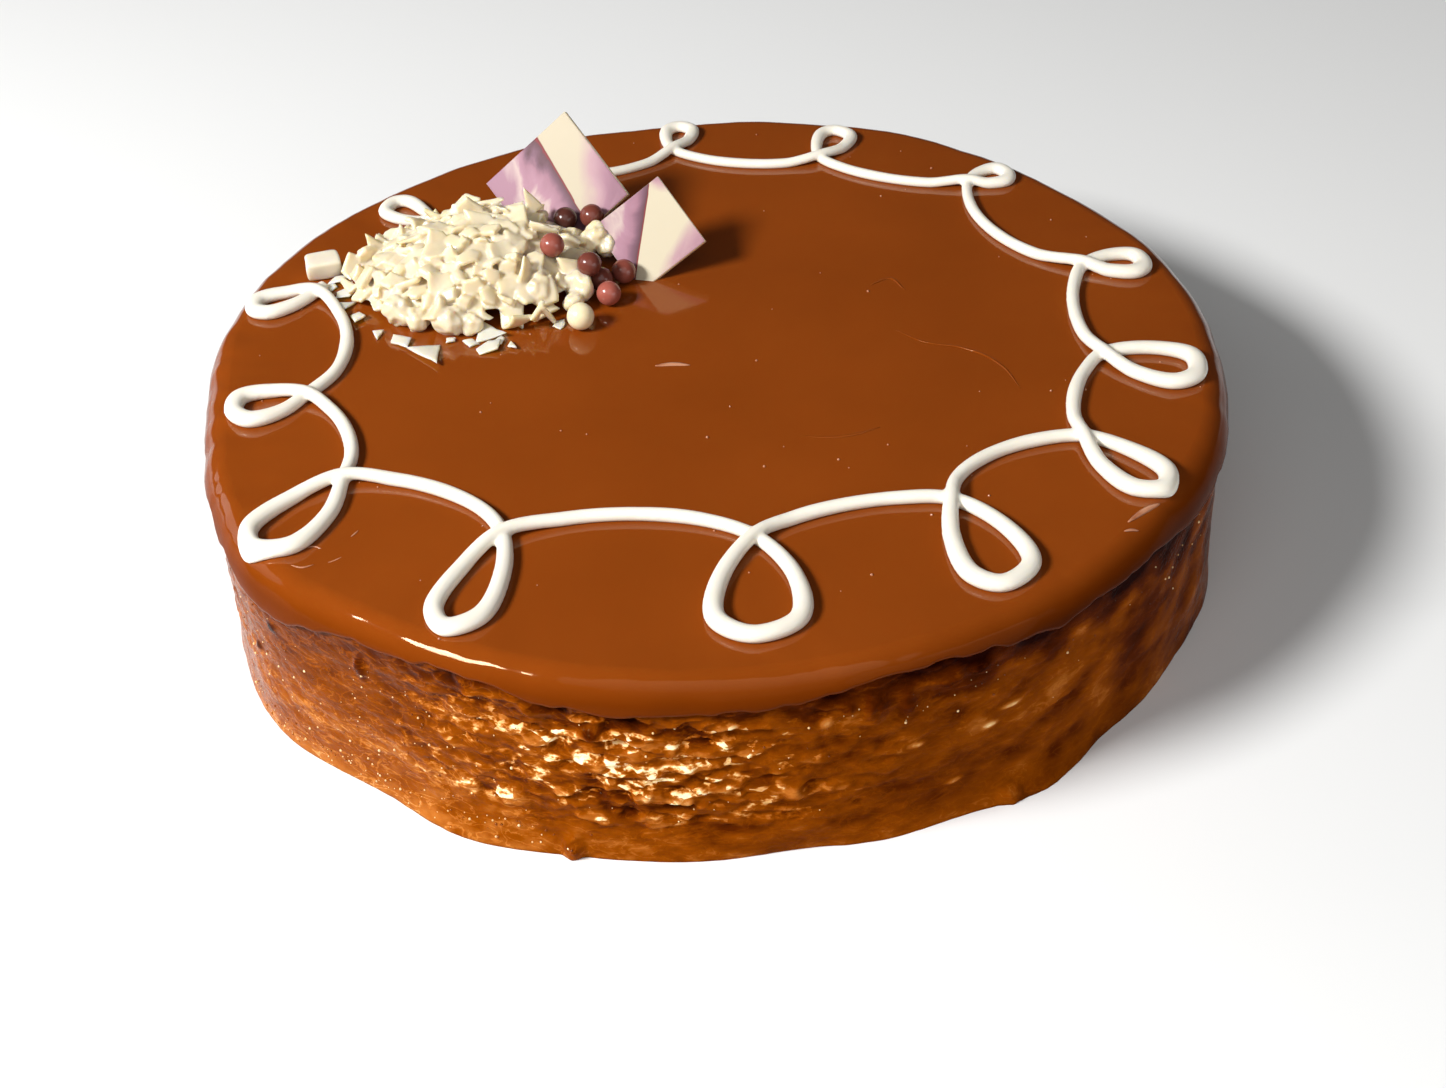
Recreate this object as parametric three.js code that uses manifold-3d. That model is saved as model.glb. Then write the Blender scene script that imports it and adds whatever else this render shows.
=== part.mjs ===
import * as THREE from 'three';
import { mergeVertices } from 'three/addons/utils/BufferGeometryUtils.js';
import Module from 'manifold-3d';

// A round dulce de leche sponge cake: a soaked sponge with a rough wet side, a poured caramel
// glaze with a rounded lip, one piped strand of white loops, and a heap of white chocolate
// shavings with chocolate pearls and two marbled squares stuck in the glaze.
// Millimetres, z up, the origin is the middle of the foot and -y is the front.

// Whole cake
const CAKE_RADIUS = 125;
const CAKE_HEIGHT = 50.7;
const GAP = 0.3;
const AROUND = 108;

// Soft swells of the outline: angle, half width, both in degrees, and how far it goes out
const OUTLINE_SWELLS = [
  [36, 16, -1.5],
  [64, 14, 1.6],
  [96, 16, -1.6],
  [150, 22, 1.3],
  [186, 18, -2.6],
  [216, 18, 2.8],
  [340, 14, 1.0],
];

// Glaze cap: a flat sheet that turns down over the edge of the sponge, first in a tight bend and
// then in a slack one that ends in a curled lip
const CAP_FLOOR = 46.2;
const CAP_WALL = 4.2;
const BEND_RADIUS = 6;
const BEND_ANGLE = 55;
const BEND_STEPS = 4;
const DRAPE_RADIUS = 14;
const DRAPE_STEPS = 2;
const LIP_LEVEL = 43.4;
const LIP_CURL = 1.6;
const LIP_STEPS = 2;

// Drips and notches of the lip: angle, half width, and how far the lower edge moves up
const LIP_WAVES = [
  [14, 14, 1.2],
  [50, 12, -1.5],
  [86, 15, 1.0],
  [121, 12, -2.0],
  [156, 14, 1.4],
  [219, 13, -3.8],
  [242, 10, 1.7],
  [261, 15, -1.2],
  [290, 15, 1.7],
  [332, 16, -1.9],
];

// Sponge side: set back under the lip, with a swelling foot and a rough wet skin
const SIDE_SETBACK = 2.6;
const SIDE_ROWS = 9;
const FOOT_HEIGHT = 9;
const FOOT_FLARE = 0.6;
const SIDE_ROUGHNESS = 0.8;
const ROUGH_COLUMNS = 60;
const ROUGH_ROW_HEIGHT = 6;

// Glaze that ran down to the foot: angle, half width, and how far it goes out
const FOOT_SWELLS = [
  [20, 14, 1.2],
  [72, 16, -1.0],
  [118, 14, 1.6],
  [165, 14, -0.8],
  [243, 14, 2.2],
  [274, 13, -2.0],
  [303, 12, 2.8],
];

// Piped strand: each row is one loop, in the order it was piped. A row gives the angle and
// radius where the strand crosses itself, the angle and radius of the loop's tip, how far the
// loop bulges on its leading and its trailing side, and the sag of the arc that follows.
const LOOPS = [
  [160.1, 104.8, 166.0, 116.6, 3.2, 4.2, 9.0],
  [186.8, 96.8, 188.8, 113.7, 5.0, 5.6, 5.3],
  [208.8, 95.8, 214.6, 124.0, 7.6, 5.2, 7.0],
  [236.4, 84.7, 240.6, 117.0, 5.8, 4.9, 7.8],
  [276.3, 76.5, 273.4, 109.6, 9.6, 8.0, 5.2],
  [308.3, 84.0, 301.6, 113.6, 8.5, 5.2, 8.0],
  [332.2, 95.3, 326.3, 118.8, 5.0, 5.0, 4.2],
  [353.5, 94.8, 349.2, 116.4, 7.4, 5.2, 4.7],
  [17.6, 100.5, 14.2, 114.0, 5.4, 3.0, 9.3],
  [46.5, 104.3, 43.4, 114.0, 4.4, 2.8, 5.1],
  [70.4, 99.4, 70.4, 115.2, 3.2, 5.0, 5.8],
  [93.7, 102.3, 92.2, 115.3, 3.2, 3.6, 6.0],
  [115.0, 102.0, 114.5, 113.0, 3.6, 4.0, 6.0],
  [136.1, 99.6, 135.8, 114.5, 4.8, 3.0, 0],
];
const STRAND_START = [158.2, 104.2];
const STRAND_END = [141, 96];
const STRAND_WIDTH = 3.3;
const TIP_WIDTH = 4.5;
const STRAND_HEIGHT = 2.4;
const STRAND_SIDES = 6;
const STEPS_PER_SPAN = 2;
const CROSSING_LIFT = 0.9;
const CROSSING_REACH = 4;
const JOINT_SHRINK = 0.86;

// The strand is stiff, so it dips less than the bend of the glaze does: its height is that of
// the glaze at this share of its distance from the axis
const STRAND_STIFFNESS = 0.985;

// Where the strand passes on a loop's flanks, as shares of the loop's length and of its bulge,
// and on the arc between two loops, as shares of the way and of the sag
const LOW_FLANK = { along: 0.42, out: 0.9 };
const HIGH_FLANK = { along: 0.85, out: 0.97 };
const ARC_PLACES = [[0.22, 0.74], [0.5, 1], [0.78, 0.74]];

// Heap of shavings: an oval mound, lower at its left, with flakes lying on it and knobs along
// its front
const HEAP_MIDDLE = [-58.5, 40];
const HEAP_RADII = [34, 26];
const HEAP_HEIGHT = 14.5;
const HEAP_FULLNESS = 0.62;
const HEAP_SLOPE = 0.55;
const HEAP_AROUND = 24;
const HEAP_ROWS = 6;
const HEAP_SEED = 41;
const FLAKE_COUNT = 58;
const FLAKE_SIZE = [3.6, 6.4];
const FLAKE_THICKNESS = [0.9, 1.7];
const FLAKE_REACH = [0.75, 1.1];
const FLAKE_SLIMNESS = 0.75;
const FLAKE_TILT = 70;
const FLAKE_SPREAD = 0.94;
const FLAKE_RISE = 0.45;
const KNOB_COUNT = 7;
const KNOB_SIZE = [3.4, 4.8];
const KNOB_ANGLES = [202, 338];
const KNOB_SPREAD = 0.93;
const KNOB_RISE = 0.75;

// Loose shavings on the glaze: x, y, half length, corner count, turn in degrees and thickness
const LOOSE_FLAKES = [
  [-69.2, 6.6, 5.0, 3, 20, 1.2],
  [-75.2, 10.6, 3.2, 3, 95, 1.1],
  [-53.5, 6.3, 4.2, 4, 10, 1.3],
  [-97.4, 45.8, 4.6, 4, 12, 5.2],
];

// Chocolate pearls: x, y and height of the middle above the glaze, with a radius
const PEARL_RADIUS = 3.1;
const BROWN_PEARLS = [
  [-37.5, 32.8, 12.9],
  [-35.0, 54.2, 8.0],
  [-28.0, 52.5, 9.4],
  [-28.4, 28.8, 9.2],
  [-25.9, 31.2, 3.5],
  [-20.2, 34.4, 3.5],
  [-23.9, 24.2, 3.5],
  [-24.8, 62.0, 3.5],
];
const WHITE_PEARL = [-30.8, 13.7, 3.7];
const WHITE_PEARL_RADIUS = 3.4;
const PEARL_AROUND = 10;
const PEARL_ROWS = 6;

// Marbled squares: lower corner, side, then the turn, the lean to the back and the roll
const SQUARE_THICKNESS = 1.7;
const SQUARE_BACK = { corner: [-40.0, 52.6, 45.7], side: 28.5, turn: -24.3, lean: 34.6, roll: 5 };
const SQUARE_FRONT = { corner: [-16.1, 34.0, 47.8], side: 21, turn: -16, lean: 38, roll: -1.5 };
const CLEAR_BEHIND = 45;

// Looks of the sub-parts
const GLAZE = { color: 0x8f4414, roughness: 0.12, metalness: 0 };
const SPONGE = { color: 0x96490c, roughness: 0.3, metalness: 0 };
const ICING = { color: 0xf6f0e0, roughness: 0.3, metalness: 0 };
const SHAVINGS = { color: 0xf2e2bb, roughness: 0.5, metalness: 0 };
const MILK_CHOCOLATE = { color: 0x7a3a2f, roughness: 0.2, metalness: 0 };
const WHITE_CHOCOLATE = { color: 0xf1ddb5, roughness: 0.25, metalness: 0 };
const MARBLED = { color: 0xe6c6c6, roughness: 0.25, metalness: 0 };

const wasm = await Module();
wasm.setup();
const radians = THREE.MathUtils.degToRad;

// Repeatable random numbers from 0 to 1
function randomFrom(seed) {
  let state = seed;
  return () => {
    state = (state * 16807) % 2147483647;
    return state / 2147483647;
  };
}

function between(range, share) {
  return range[0] + (range[1] - range[0]) * share;
}

function polar(angle, radius, z) {
  const turn = radians(angle);
  return new THREE.Vector3(radius * Math.cos(turn), radius * Math.sin(turn), z);
}

// Sum of soft bells, one for each row of a list of swells
function swellAt(swells, angle) {
  let sum = 0;
  for (const [middle, halfWidth, rise] of swells) {
    const away = Math.abs(((angle - middle + 540) % 360) - 180) / halfWidth;
    sum += away < 1 ? rise * Math.cos((away * Math.PI) / 2) ** 2 : 0;
  }
  return sum;
}

function outlineRadius(angle) {
  return CAKE_RADIUS + swellAt(OUTLINE_SWELLS, angle);
}

function lipLevel(angle) {
  return LIP_LEVEL + swellAt(LIP_WAVES, angle);
}

// How far the glaze has run outwards and dropped where it slopes by an angle
function drapeAt(slope) {
  const tight = Math.min(slope, radians(BEND_ANGLE));
  const run = BEND_RADIUS * Math.sin(tight) + DRAPE_RADIUS * (Math.sin(slope) - Math.sin(tight));
  const drop = BEND_RADIUS * (1 - Math.cos(tight)) + DRAPE_RADIUS * (Math.cos(tight) - Math.cos(slope));
  return { run, drop };
}

const BEND = drapeAt(radians(BEND_ANGLE));
const FULL_RUN = drapeAt(Math.PI / 2).run;

// Height of the glaze at a point seen from above
function glazeHeight(x, y) {
  const angle = (THREE.MathUtils.radToDeg(Math.atan2(y, x)) + 360) % 360;
  const run = THREE.MathUtils.clamp(Math.hypot(x, y) - (outlineRadius(angle) - FULL_RUN), 0, FULL_RUN);
  const slack = Math.sin(radians(BEND_ANGLE)) + (run - BEND.run) / DRAPE_RADIUS;
  const slope = Math.asin(run < BEND.run ? run / BEND_RADIUS : Math.min(slack, 1));
  return CAKE_HEIGHT - drapeAt(slope).drop;
}

// Slope of the glaze where the curl of the lip begins
function lipSlope(angle) {
  const drop = CAKE_HEIGHT - lipLevel(angle) - LIP_CURL;
  return Math.acos(Math.cos(radians(BEND_ANGLE)) - (drop - BEND.drop) / DRAPE_RADIUS);
}

// Repeatable value from -1 to 1 for one knot of the rough side
function knot(column, row) {
  const wave = Math.sin(column * 127.1 + row * 311.7) * 43758.5453;
  return 2 * (wave - Math.floor(wave)) - 1;
}

function roughness(angle, z) {
  const column = (angle / 360) * ROUGH_COLUMNS;
  const row = z / ROUGH_ROW_HEIGHT;
  const left = Math.floor(column);
  const low = Math.floor(row);
  const across = THREE.MathUtils.smoothstep(column - left, 0, 1);
  const up = THREE.MathUtils.smoothstep(row - low, 0, 1);
  const right = (left + 1) % ROUGH_COLUMNS;
  const lower = THREE.MathUtils.lerp(knot(left, low), knot(right, low), across);
  const upper = THREE.MathUtils.lerp(knot(left, low + 1), knot(right, low + 1), across);
  return SIDE_ROUGHNESS * THREE.MathUtils.lerp(lower, upper, up);
}

function sideRadius(angle, z) {
  const foot = Math.max(0, 1 - z / FOOT_HEIGHT) ** 2;
  const swell = foot * (FOOT_FLARE + swellAt(FOOT_SWELLS, angle));
  return outlineRadius(angle) - SIDE_SETBACK + swell + roughness(angle, z);
}

// Closed body from rings that run from a lower to an upper point on the axis
function ringedBody(lowerZ, rings, upperZ) {
  const points = [];
  const faces = [];
  for (const ring of rings) {
    for (let step = 0; step < AROUND; step += 1) {
      const angle = (360 * step) / AROUND;
      const [radius, z] = ring(angle);
      points.push(...polar(angle, radius, z).toArray());
    }
  }
  const lower = rings.length * AROUND;
  const upper = lower + 1;
  const last = lower - AROUND;
  points.push(0, 0, lowerZ, 0, 0, upperZ);
  for (let step = 0; step < AROUND; step += 1) {
    const next = (step + 1) % AROUND;
    faces.push(lower, next, step, upper, last + step, last + next);
    for (let row = 0; row < last; row += AROUND) {
      const above = row + AROUND;
      faces.push(row + step, row + next, above + next, row + step, above + next, above + step);
    }
  }
  const geometry = new THREE.BufferGeometry();
  geometry.setAttribute('position', new THREE.Float32BufferAttribute(points, 3));
  geometry.setIndex(faces);
  return geometry;
}

function spongeGeometry() {
  const ledge = (angle) => lipLevel(angle) - GAP;
  const inner = (angle) => outlineRadius(angle) - CAP_WALL - GAP;
  const rings = [];
  for (let row = 0; row <= SIDE_ROWS; row += 1) {
    rings.push((angle) => {
      const z = (ledge(angle) * row) / SIDE_ROWS;
      return [sideRadius(angle, z), z];
    });
  }
  rings.push((angle) => [inner(angle), ledge(angle)]);
  rings.push((angle) => [inner(angle), CAP_FLOOR - GAP]);
  return ringedBody(0, rings, CAP_FLOOR - GAP);
}

function capGeometry() {
  const inner = (angle) => outlineRadius(angle) - CAP_WALL;
  const outside = (angle, slope) => {
    const { run, drop } = drapeAt(slope);
    return [outlineRadius(angle) - FULL_RUN + run, CAKE_HEIGHT - drop];
  };
  const rings = [(angle) => [inner(angle), CAP_FLOOR], (angle) => [inner(angle), lipLevel(angle)]];
  for (let step = LIP_STEPS; step > 0; step -= 1) {
    const turn = (Math.PI / 2) * (step / LIP_STEPS);
    rings.push((angle) => {
      const [radius, z] = outside(angle, lipSlope(angle));
      return [radius - LIP_CURL * (1 - Math.cos(turn)), z - LIP_CURL * Math.sin(turn)];
    });
  }
  for (let step = DRAPE_STEPS; step > 0; step -= 1) {
    rings.push((angle) => {
      const slope = between([radians(BEND_ANGLE), lipSlope(angle)], step / DRAPE_STEPS);
      return outside(angle, slope);
    });
  }
  for (let step = BEND_STEPS; step >= 0; step -= 1) {
    rings.push((angle) => outside(angle, radians(BEND_ANGLE) * (step / BEND_STEPS)));
  }
  return ringedBody(CAP_FLOOR, rings, CAKE_HEIGHT);
}

// Bodies that can be joined and cut
function bodyFrom(geometry) {
  const bare = new THREE.BufferGeometry();
  bare.setAttribute('position', geometry.getAttribute('position'));
  bare.setIndex(geometry.getIndex());
  const merged = mergeVertices(bare, 1e-4);
  return new wasm.Manifold(new wasm.Mesh({
    numProp: 3,
    vertProperties: new Float32Array(merged.getAttribute('position').array),
    triVerts: new Uint32Array(merged.getIndex().array),
  }));
}

// Skin of a joined body without the small pockets that stay sealed between its pieces
function geometryFrom(body) {
  const { vertProperties, triVerts, numVert } = body.getMesh();
  const owner = Array.from({ length: numVert }, (unused, index) => index);
  const ownerOf = (index) => {
    let place = index;
    while (owner[place] !== place) {
      place = owner[place];
    }
    return place;
  };
  const sizes = new Map();
  for (let face = 0; face < triVerts.length; face += 3) {
    const first = ownerOf(triVerts[face]);
    owner[ownerOf(triVerts[face + 1])] = first;
    owner[ownerOf(triVerts[face + 2])] = first;
  }
  for (const corner of triVerts) {
    const first = ownerOf(corner);
    sizes.set(first, (sizes.get(first) ?? 0) + 1);
  }
  const [largest] = [...sizes].reduce((best, entry) => (entry[1] > best[1] ? entry : best));
  const kept = [...triVerts].filter((corner) => ownerOf(corner) === largest);
  const geometry = new THREE.BufferGeometry();
  geometry.setAttribute('position', new THREE.Float32BufferAttribute(vertProperties, 3));
  geometry.setIndex(kept);
  return mergeVertices(geometry, 1e-4);
}

function joined(bodies) {
  return bodies.reduce((sum, body) => sum.add(body));
}

// Points the strand runs through, with the width at each, in piping order
function strandRoute() {
  const route = [];
  const halves = [];
  const add = (point, width) => route.push({ point, width });
  add(polar(STRAND_START[0], STRAND_START[1], 0), STRAND_WIDTH);
  LOOPS.forEach((loop, index) => {
    const [crossAngle, crossRadius, tipAngle, tipRadius, leading, trailing, sag] = loop;
    const crossing = polar(crossAngle, crossRadius, 0);
    const tip = polar(tipAngle, tipRadius, 0);
    const along = tip.clone().sub(crossing);
    const aside = new THREE.Vector3(-along.y, along.x, 0).normalize();
    const flank = ({ along: share, out }, bulge) => {
      return crossing.clone().addScaledVector(along, share).addScaledVector(aside, bulge * out);
    };
    const side = (STRAND_WIDTH + TIP_WIDTH) / 2;
    const start = route.length - 1;
    add(crossing, STRAND_WIDTH);
    add(flank(LOW_FLANK, leading), side);
    add(flank(HIGH_FLANK, leading), TIP_WIDTH);
    const middle = route.length;
    add(tip, TIP_WIDTH);
    add(flank(HIGH_FLANK, -trailing), TIP_WIDTH);
    add(flank(LOW_FLANK, -trailing), side);
    add(crossing, STRAND_WIDTH);
    if (index + 1 < LOOPS.length) {
      const next = polar(LOOPS[index + 1][0], LOOPS[index + 1][1], 0);
      const inward = crossing.clone().add(next).normalize().multiplyScalar(-sag);
      for (const [share, depth] of ARC_PLACES) {
        add(crossing.clone().lerp(next, share).addScaledVector(inward, depth), STRAND_WIDTH);
      }
    } else {
      add(polar(STRAND_END[0], STRAND_END[1], 0), STRAND_WIDTH);
    }
    halves.push({ from: start, to: middle, crossing, lift: 0 });
    halves.push({ from: middle, to: route.length - 1, crossing, lift: CROSSING_LIFT });
  });
  return { route, halves };
}

// Piece of the strand between two points of its route, lying on the glaze
function strandPiece(route, half, margin) {
  const curve = new THREE.CatmullRomCurve3(route.map((stop) => stop.point), false, 'centripetal');
  const spans = route.length - 1;
  const steps = (half.to - half.from) * STEPS_PER_SPAN;
  const points = [];
  const faces = [];
  const ends = [-1, steps + 1];
  for (let step = ends[0]; step <= ends[1]; step += 1) {
    const place = THREE.MathUtils.clamp(half.from + step / STEPS_PER_SPAN, 0, spans);
    const centre = curve.getPoint(place / spans);
    const heading = curve.getTangent(place / spans);
    const aside = new THREE.Vector3(-heading.y, heading.x, 0).normalize();
    const low = Math.min(Math.floor(place), spans - 1);
    const shrink = ends.includes(step) ? JOINT_SHRINK : 1;
    const width = THREE.MathUtils.lerp(route[low].width, route[low + 1].width, place - low);
    const halfWidth = (width / 2) * shrink + margin;
    const height = STRAND_HEIGHT * shrink * Math.sqrt(width / STRAND_WIDTH) + 2 * margin;
    const near = Math.exp(-((centre.distanceTo(half.crossing) / CROSSING_REACH) ** 2));
    const under = (STRAND_HEIGHT * (1 - shrink)) / 2 - margin;
    const lift = GAP + half.lift * near + under;
    for (let side = 0; side < STRAND_SIDES; side += 1) {
      const turn = (2 * Math.PI * side) / STRAND_SIDES;
      const point = centre.clone().addScaledVector(aside, halfWidth * Math.cos(turn));
      const rise = (height / 2) * (1 + Math.sin(turn) / Math.sin(Math.PI / 3));
      const floor = glazeHeight(STRAND_STIFFNESS * point.x, STRAND_STIFFNESS * point.y);
      points.push(point.x, point.y, floor + lift + rise);
    }
  }
  const last = points.length / 3 - STRAND_SIDES;
  for (let side = 0; side < STRAND_SIDES; side += 1) {
    const next = (side + 1) % STRAND_SIDES;
    for (let ring = 0; ring < last; ring += STRAND_SIDES) {
      const ahead = ring + STRAND_SIDES;
      faces.push(ring + side, ring + next, ahead + next, ring + side, ahead + next, ahead + side);
    }
  }
  for (let side = 1; side + 1 < STRAND_SIDES; side += 1) {
    faces.push(0, side + 1, side, last, last + side, last + side + 1);
  }
  const geometry = new THREE.BufferGeometry();
  geometry.setAttribute('position', new THREE.Float32BufferAttribute(points, 3));
  geometry.setIndex(faces);
  return bodyFrom(geometry);
}

function strandBody(margin) {
  const { route, halves } = strandRoute();
  return joined(halves.map((half) => strandPiece(route, half, margin)));
}

// Flat flake with a few corners, lying in its own plane round the origin
function flakeGeometry(corners, size, thickness, random) {
  const shape = new THREE.Shape();
  for (let corner = 0; corner < corners; corner += 1) {
    const turn = (2 * Math.PI * (corner + random() / 2)) / corners;
    const reach = size * between(FLAKE_REACH, random());
    const point = new THREE.Vector2(reach * Math.cos(turn), reach * FLAKE_SLIMNESS * Math.sin(turn));
    if (corner === 0) {
      shape.moveTo(point.x, point.y);
    } else {
      shape.lineTo(point.x, point.y);
    }
  }
  shape.closePath();
  const geometry = new THREE.ExtrudeGeometry(shape, { depth: thickness, bevelEnabled: false });
  return geometry.translate(0, 0, -thickness / 2);
}

// Place on the mound, at a share of the way from its middle to its rim
function heapPoint(turn, share) {
  const lower = 1 - HEAP_SLOPE * Math.max(0, -share * Math.cos(turn));
  const rise = HEAP_HEIGHT * Math.max(0, 1 - share * share) ** HEAP_FULLNESS;
  return new THREE.Vector3(
    HEAP_MIDDLE[0] + HEAP_RADII[0] * share * Math.cos(turn),
    HEAP_MIDDLE[1] + HEAP_RADII[1] * share * Math.sin(turn),
    CAKE_HEIGHT + GAP + lower * rise,
  );
}

function moundBody() {
  const points = [];
  const faces = [];
  for (let row = 0; row < HEAP_ROWS; row += 1) {
    for (let step = 0; step < HEAP_AROUND; step += 1) {
      const share = Math.cos((Math.PI / 2) * (row / HEAP_ROWS));
      points.push(...heapPoint((2 * Math.PI * step) / HEAP_AROUND, share).toArray());
    }
  }
  const last = (HEAP_ROWS - 1) * HEAP_AROUND;
  const bottom = last + HEAP_AROUND;
  const top = bottom + 1;
  points.push(HEAP_MIDDLE[0], HEAP_MIDDLE[1], CAKE_HEIGHT + GAP);
  points.push(...heapPoint(0, 0).toArray());
  for (let step = 0; step < HEAP_AROUND; step += 1) {
    const next = (step + 1) % HEAP_AROUND;
    faces.push(bottom, next, step, top, last + step, last + next);
    for (let row = 0; row < last; row += HEAP_AROUND) {
      const above = row + HEAP_AROUND;
      faces.push(row + step, row + next, above + next, row + step, above + next, above + step);
    }
  }
  const geometry = new THREE.BufferGeometry();
  geometry.setAttribute('position', new THREE.Float32BufferAttribute(points, 3));
  geometry.setIndex(faces);
  return bodyFrom(geometry);
}

function pearlGeometry(place, radius) {
  const sphere = new THREE.SphereGeometry(radius, PEARL_AROUND, PEARL_ROWS).rotateX(Math.PI / 2);
  return sphere.translate(place[0], place[1], CAKE_HEIGHT + place[2]);
}

// Places a square on its lower corner: turned, leant to the back and rolled in its own plane
function squareMatrix(square) {
  const turn = new THREE.Matrix4().makeRotationZ(radians(square.turn));
  const lean = new THREE.Matrix4().makeRotationX(radians(-square.lean));
  const roll = new THREE.Matrix4().makeRotationY(radians(-square.roll - 45));
  const move = new THREE.Matrix4().makeTranslation(...square.corner);
  return move.multiply(turn).multiply(lean).multiply(roll);
}

// Slab on the square's place, grown by a margin and by a depth behind the square
function squareBody(square, margin, behind) {
  const side = square.side + 2 * margin;
  const depth = SQUARE_THICKNESS + 2 * margin + behind;
  const slab = new THREE.BoxGeometry(side, depth, side);
  slab.translate(side / 2 - margin, depth / 2 - SQUARE_THICKNESS / 2 - margin, side / 2 - margin);
  return bodyFrom(slab.applyMatrix4(squareMatrix(square)));
}

// Everything below the top of the glaze, with the usual gap
function belowGlaze() {
  const block = new THREE.BoxGeometry(2 * CAKE_RADIUS, 2 * CAKE_RADIUS, CAKE_HEIGHT);
  return bodyFrom(block.translate(0, 0, CAKE_HEIGHT / 2 + GAP));
}

// True where a flake stays off the pearls and off the space behind the squares
function isClear(point, reach) {
  const onPearl = [...BROWN_PEARLS, WHITE_PEARL].some(([x, y, z]) => {
    return point.distanceTo(new THREE.Vector3(x, y, CAKE_HEIGHT + z)) < PEARL_RADIUS + reach / 2;
  });
  const offSquares = [SQUARE_BACK, SQUARE_FRONT].every((square) => {
    const place = point.clone().applyMatrix4(squareMatrix(square).invert());
    const beside = [place.x, place.z].some((along) => along < -reach || along > square.side + reach);
    return beside || place.y < -reach / 2;
  });
  return offSquares && !onPearl;
}

function heapBody() {
  const random = randomFrom(HEAP_SEED);
  const bodies = [moundBody()];
  while (bodies.length <= FLAKE_COUNT) {
    const size = between(FLAKE_SIZE, random());
    const share = Math.sqrt(random()) * FLAKE_SPREAD;
    const point = heapPoint(2 * Math.PI * random(), share);
    const corners = 3 + Math.floor(2.4 * random());
    const flake = flakeGeometry(corners, size, between(FLAKE_THICKNESS, random()), random);
    flake.rotateX(radians(FLAKE_TILT * (2 * random() - 1)));
    flake.rotateZ(2 * Math.PI * random());
    flake.translate(point.x, point.y, Math.max(point.z, CAKE_HEIGHT + FLAKE_RISE * size));
    if (isClear(point, size)) {
      bodies.push(bodyFrom(flake));
    }
  }
  for (let knob = 0; knob < KNOB_COUNT; knob += 1) {
    const size = between(KNOB_SIZE, random());
    const point = heapPoint(radians(between(KNOB_ANGLES, knob / (KNOB_COUNT - 1))), KNOB_SPREAD);
    const lump = new THREE.IcosahedronGeometry(size, 0).rotateZ(knob);
    bodies.push(bodyFrom(lump.translate(point.x, point.y, CAKE_HEIGHT + KNOB_RISE * size)));
  }
  const pearls = BROWN_PEARLS.map((place) => bodyFrom(pearlGeometry(place, PEARL_RADIUS + GAP)));
  return joined(bodies)
    .subtract(joined(pearls))
    .subtract(bodyFrom(pearlGeometry(WHITE_PEARL, WHITE_PEARL_RADIUS + GAP)))
    .subtract(squareBody(SQUARE_BACK, GAP, CLEAR_BEHIND))
    .subtract(squareBody(SQUARE_FRONT, GAP, CLEAR_BEHIND))
    .subtract(strandBody(GAP))
    .subtract(belowGlaze());
}

function looseFlake(index) {
  const [x, y, size, corners, turn, thickness] = LOOSE_FLAKES[index];
  const geometry = flakeGeometry(corners, size, thickness, randomFrom(HEAP_SEED + index + 1));
  geometry.rotateZ(radians(turn));
  return mergeVertices(geometry.translate(x, y, CAKE_HEIGHT + GAP + thickness / 2), 1e-4);
}

function namedMesh(name, geometry, look) {
  const mesh = new THREE.Mesh(geometry, new THREE.MeshStandardMaterial(look));
  mesh.name = name;
  return mesh;
}

const group = new THREE.Group();
group.add(namedMesh('sponge', spongeGeometry(), SPONGE));
group.add(namedMesh('glaze_cap', capGeometry(), GLAZE));
group.add(namedMesh('piped_loops', geometryFrom(strandBody(0)), ICING));
group.add(namedMesh('shavings_heap', geometryFrom(heapBody()), SHAVINGS));
LOOSE_FLAKES.forEach((flake, index) => {
  group.add(namedMesh(`loose_flake_${index + 1}`, looseFlake(index), SHAVINGS));
});
BROWN_PEARLS.forEach((place, index) => {
  group.add(namedMesh(`brown_pearl_${index + 1}`, pearlGeometry(place, PEARL_RADIUS), MILK_CHOCOLATE));
});
group.add(namedMesh('white_pearl', pearlGeometry(WHITE_PEARL, WHITE_PEARL_RADIUS), WHITE_CHOCOLATE));
const back = squareBody(SQUARE_BACK, 0, 0).subtract(belowGlaze());
const front = squareBody(SQUARE_FRONT, 0, 0).subtract(belowGlaze());
group.add(namedMesh('square_back', geometryFrom(back), MARBLED));
group.add(namedMesh('square_front', geometryFrom(front), MARBLED));

export default group;
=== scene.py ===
import math

import bmesh
import bpy
import numpy as np
from mathutils import Matrix, Vector


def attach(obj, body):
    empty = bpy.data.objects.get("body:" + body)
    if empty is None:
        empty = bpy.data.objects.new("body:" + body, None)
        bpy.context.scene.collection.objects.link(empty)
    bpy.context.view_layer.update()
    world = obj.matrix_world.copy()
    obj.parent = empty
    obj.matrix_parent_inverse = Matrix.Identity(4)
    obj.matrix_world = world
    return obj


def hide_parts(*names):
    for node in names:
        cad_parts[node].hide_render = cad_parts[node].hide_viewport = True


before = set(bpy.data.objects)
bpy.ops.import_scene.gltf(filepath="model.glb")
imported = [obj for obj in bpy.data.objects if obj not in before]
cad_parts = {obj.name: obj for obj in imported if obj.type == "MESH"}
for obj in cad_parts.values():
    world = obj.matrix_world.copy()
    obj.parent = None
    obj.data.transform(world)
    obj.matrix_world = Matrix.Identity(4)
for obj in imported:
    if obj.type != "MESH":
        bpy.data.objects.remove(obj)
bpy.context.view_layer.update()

# Sizes are in metres, z is up, the middle of the foot is the origin and -y is the front.
# MM turns millimetres into metres, and lists of places are in millimetres. Angles are in degrees
# unless their name says radians. A stretch of the side is a middle angle and a half width, and a
# row of swells or waves is such a stretch with a rise in millimetres.
MM = 0.001
SEED = 7

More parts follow.
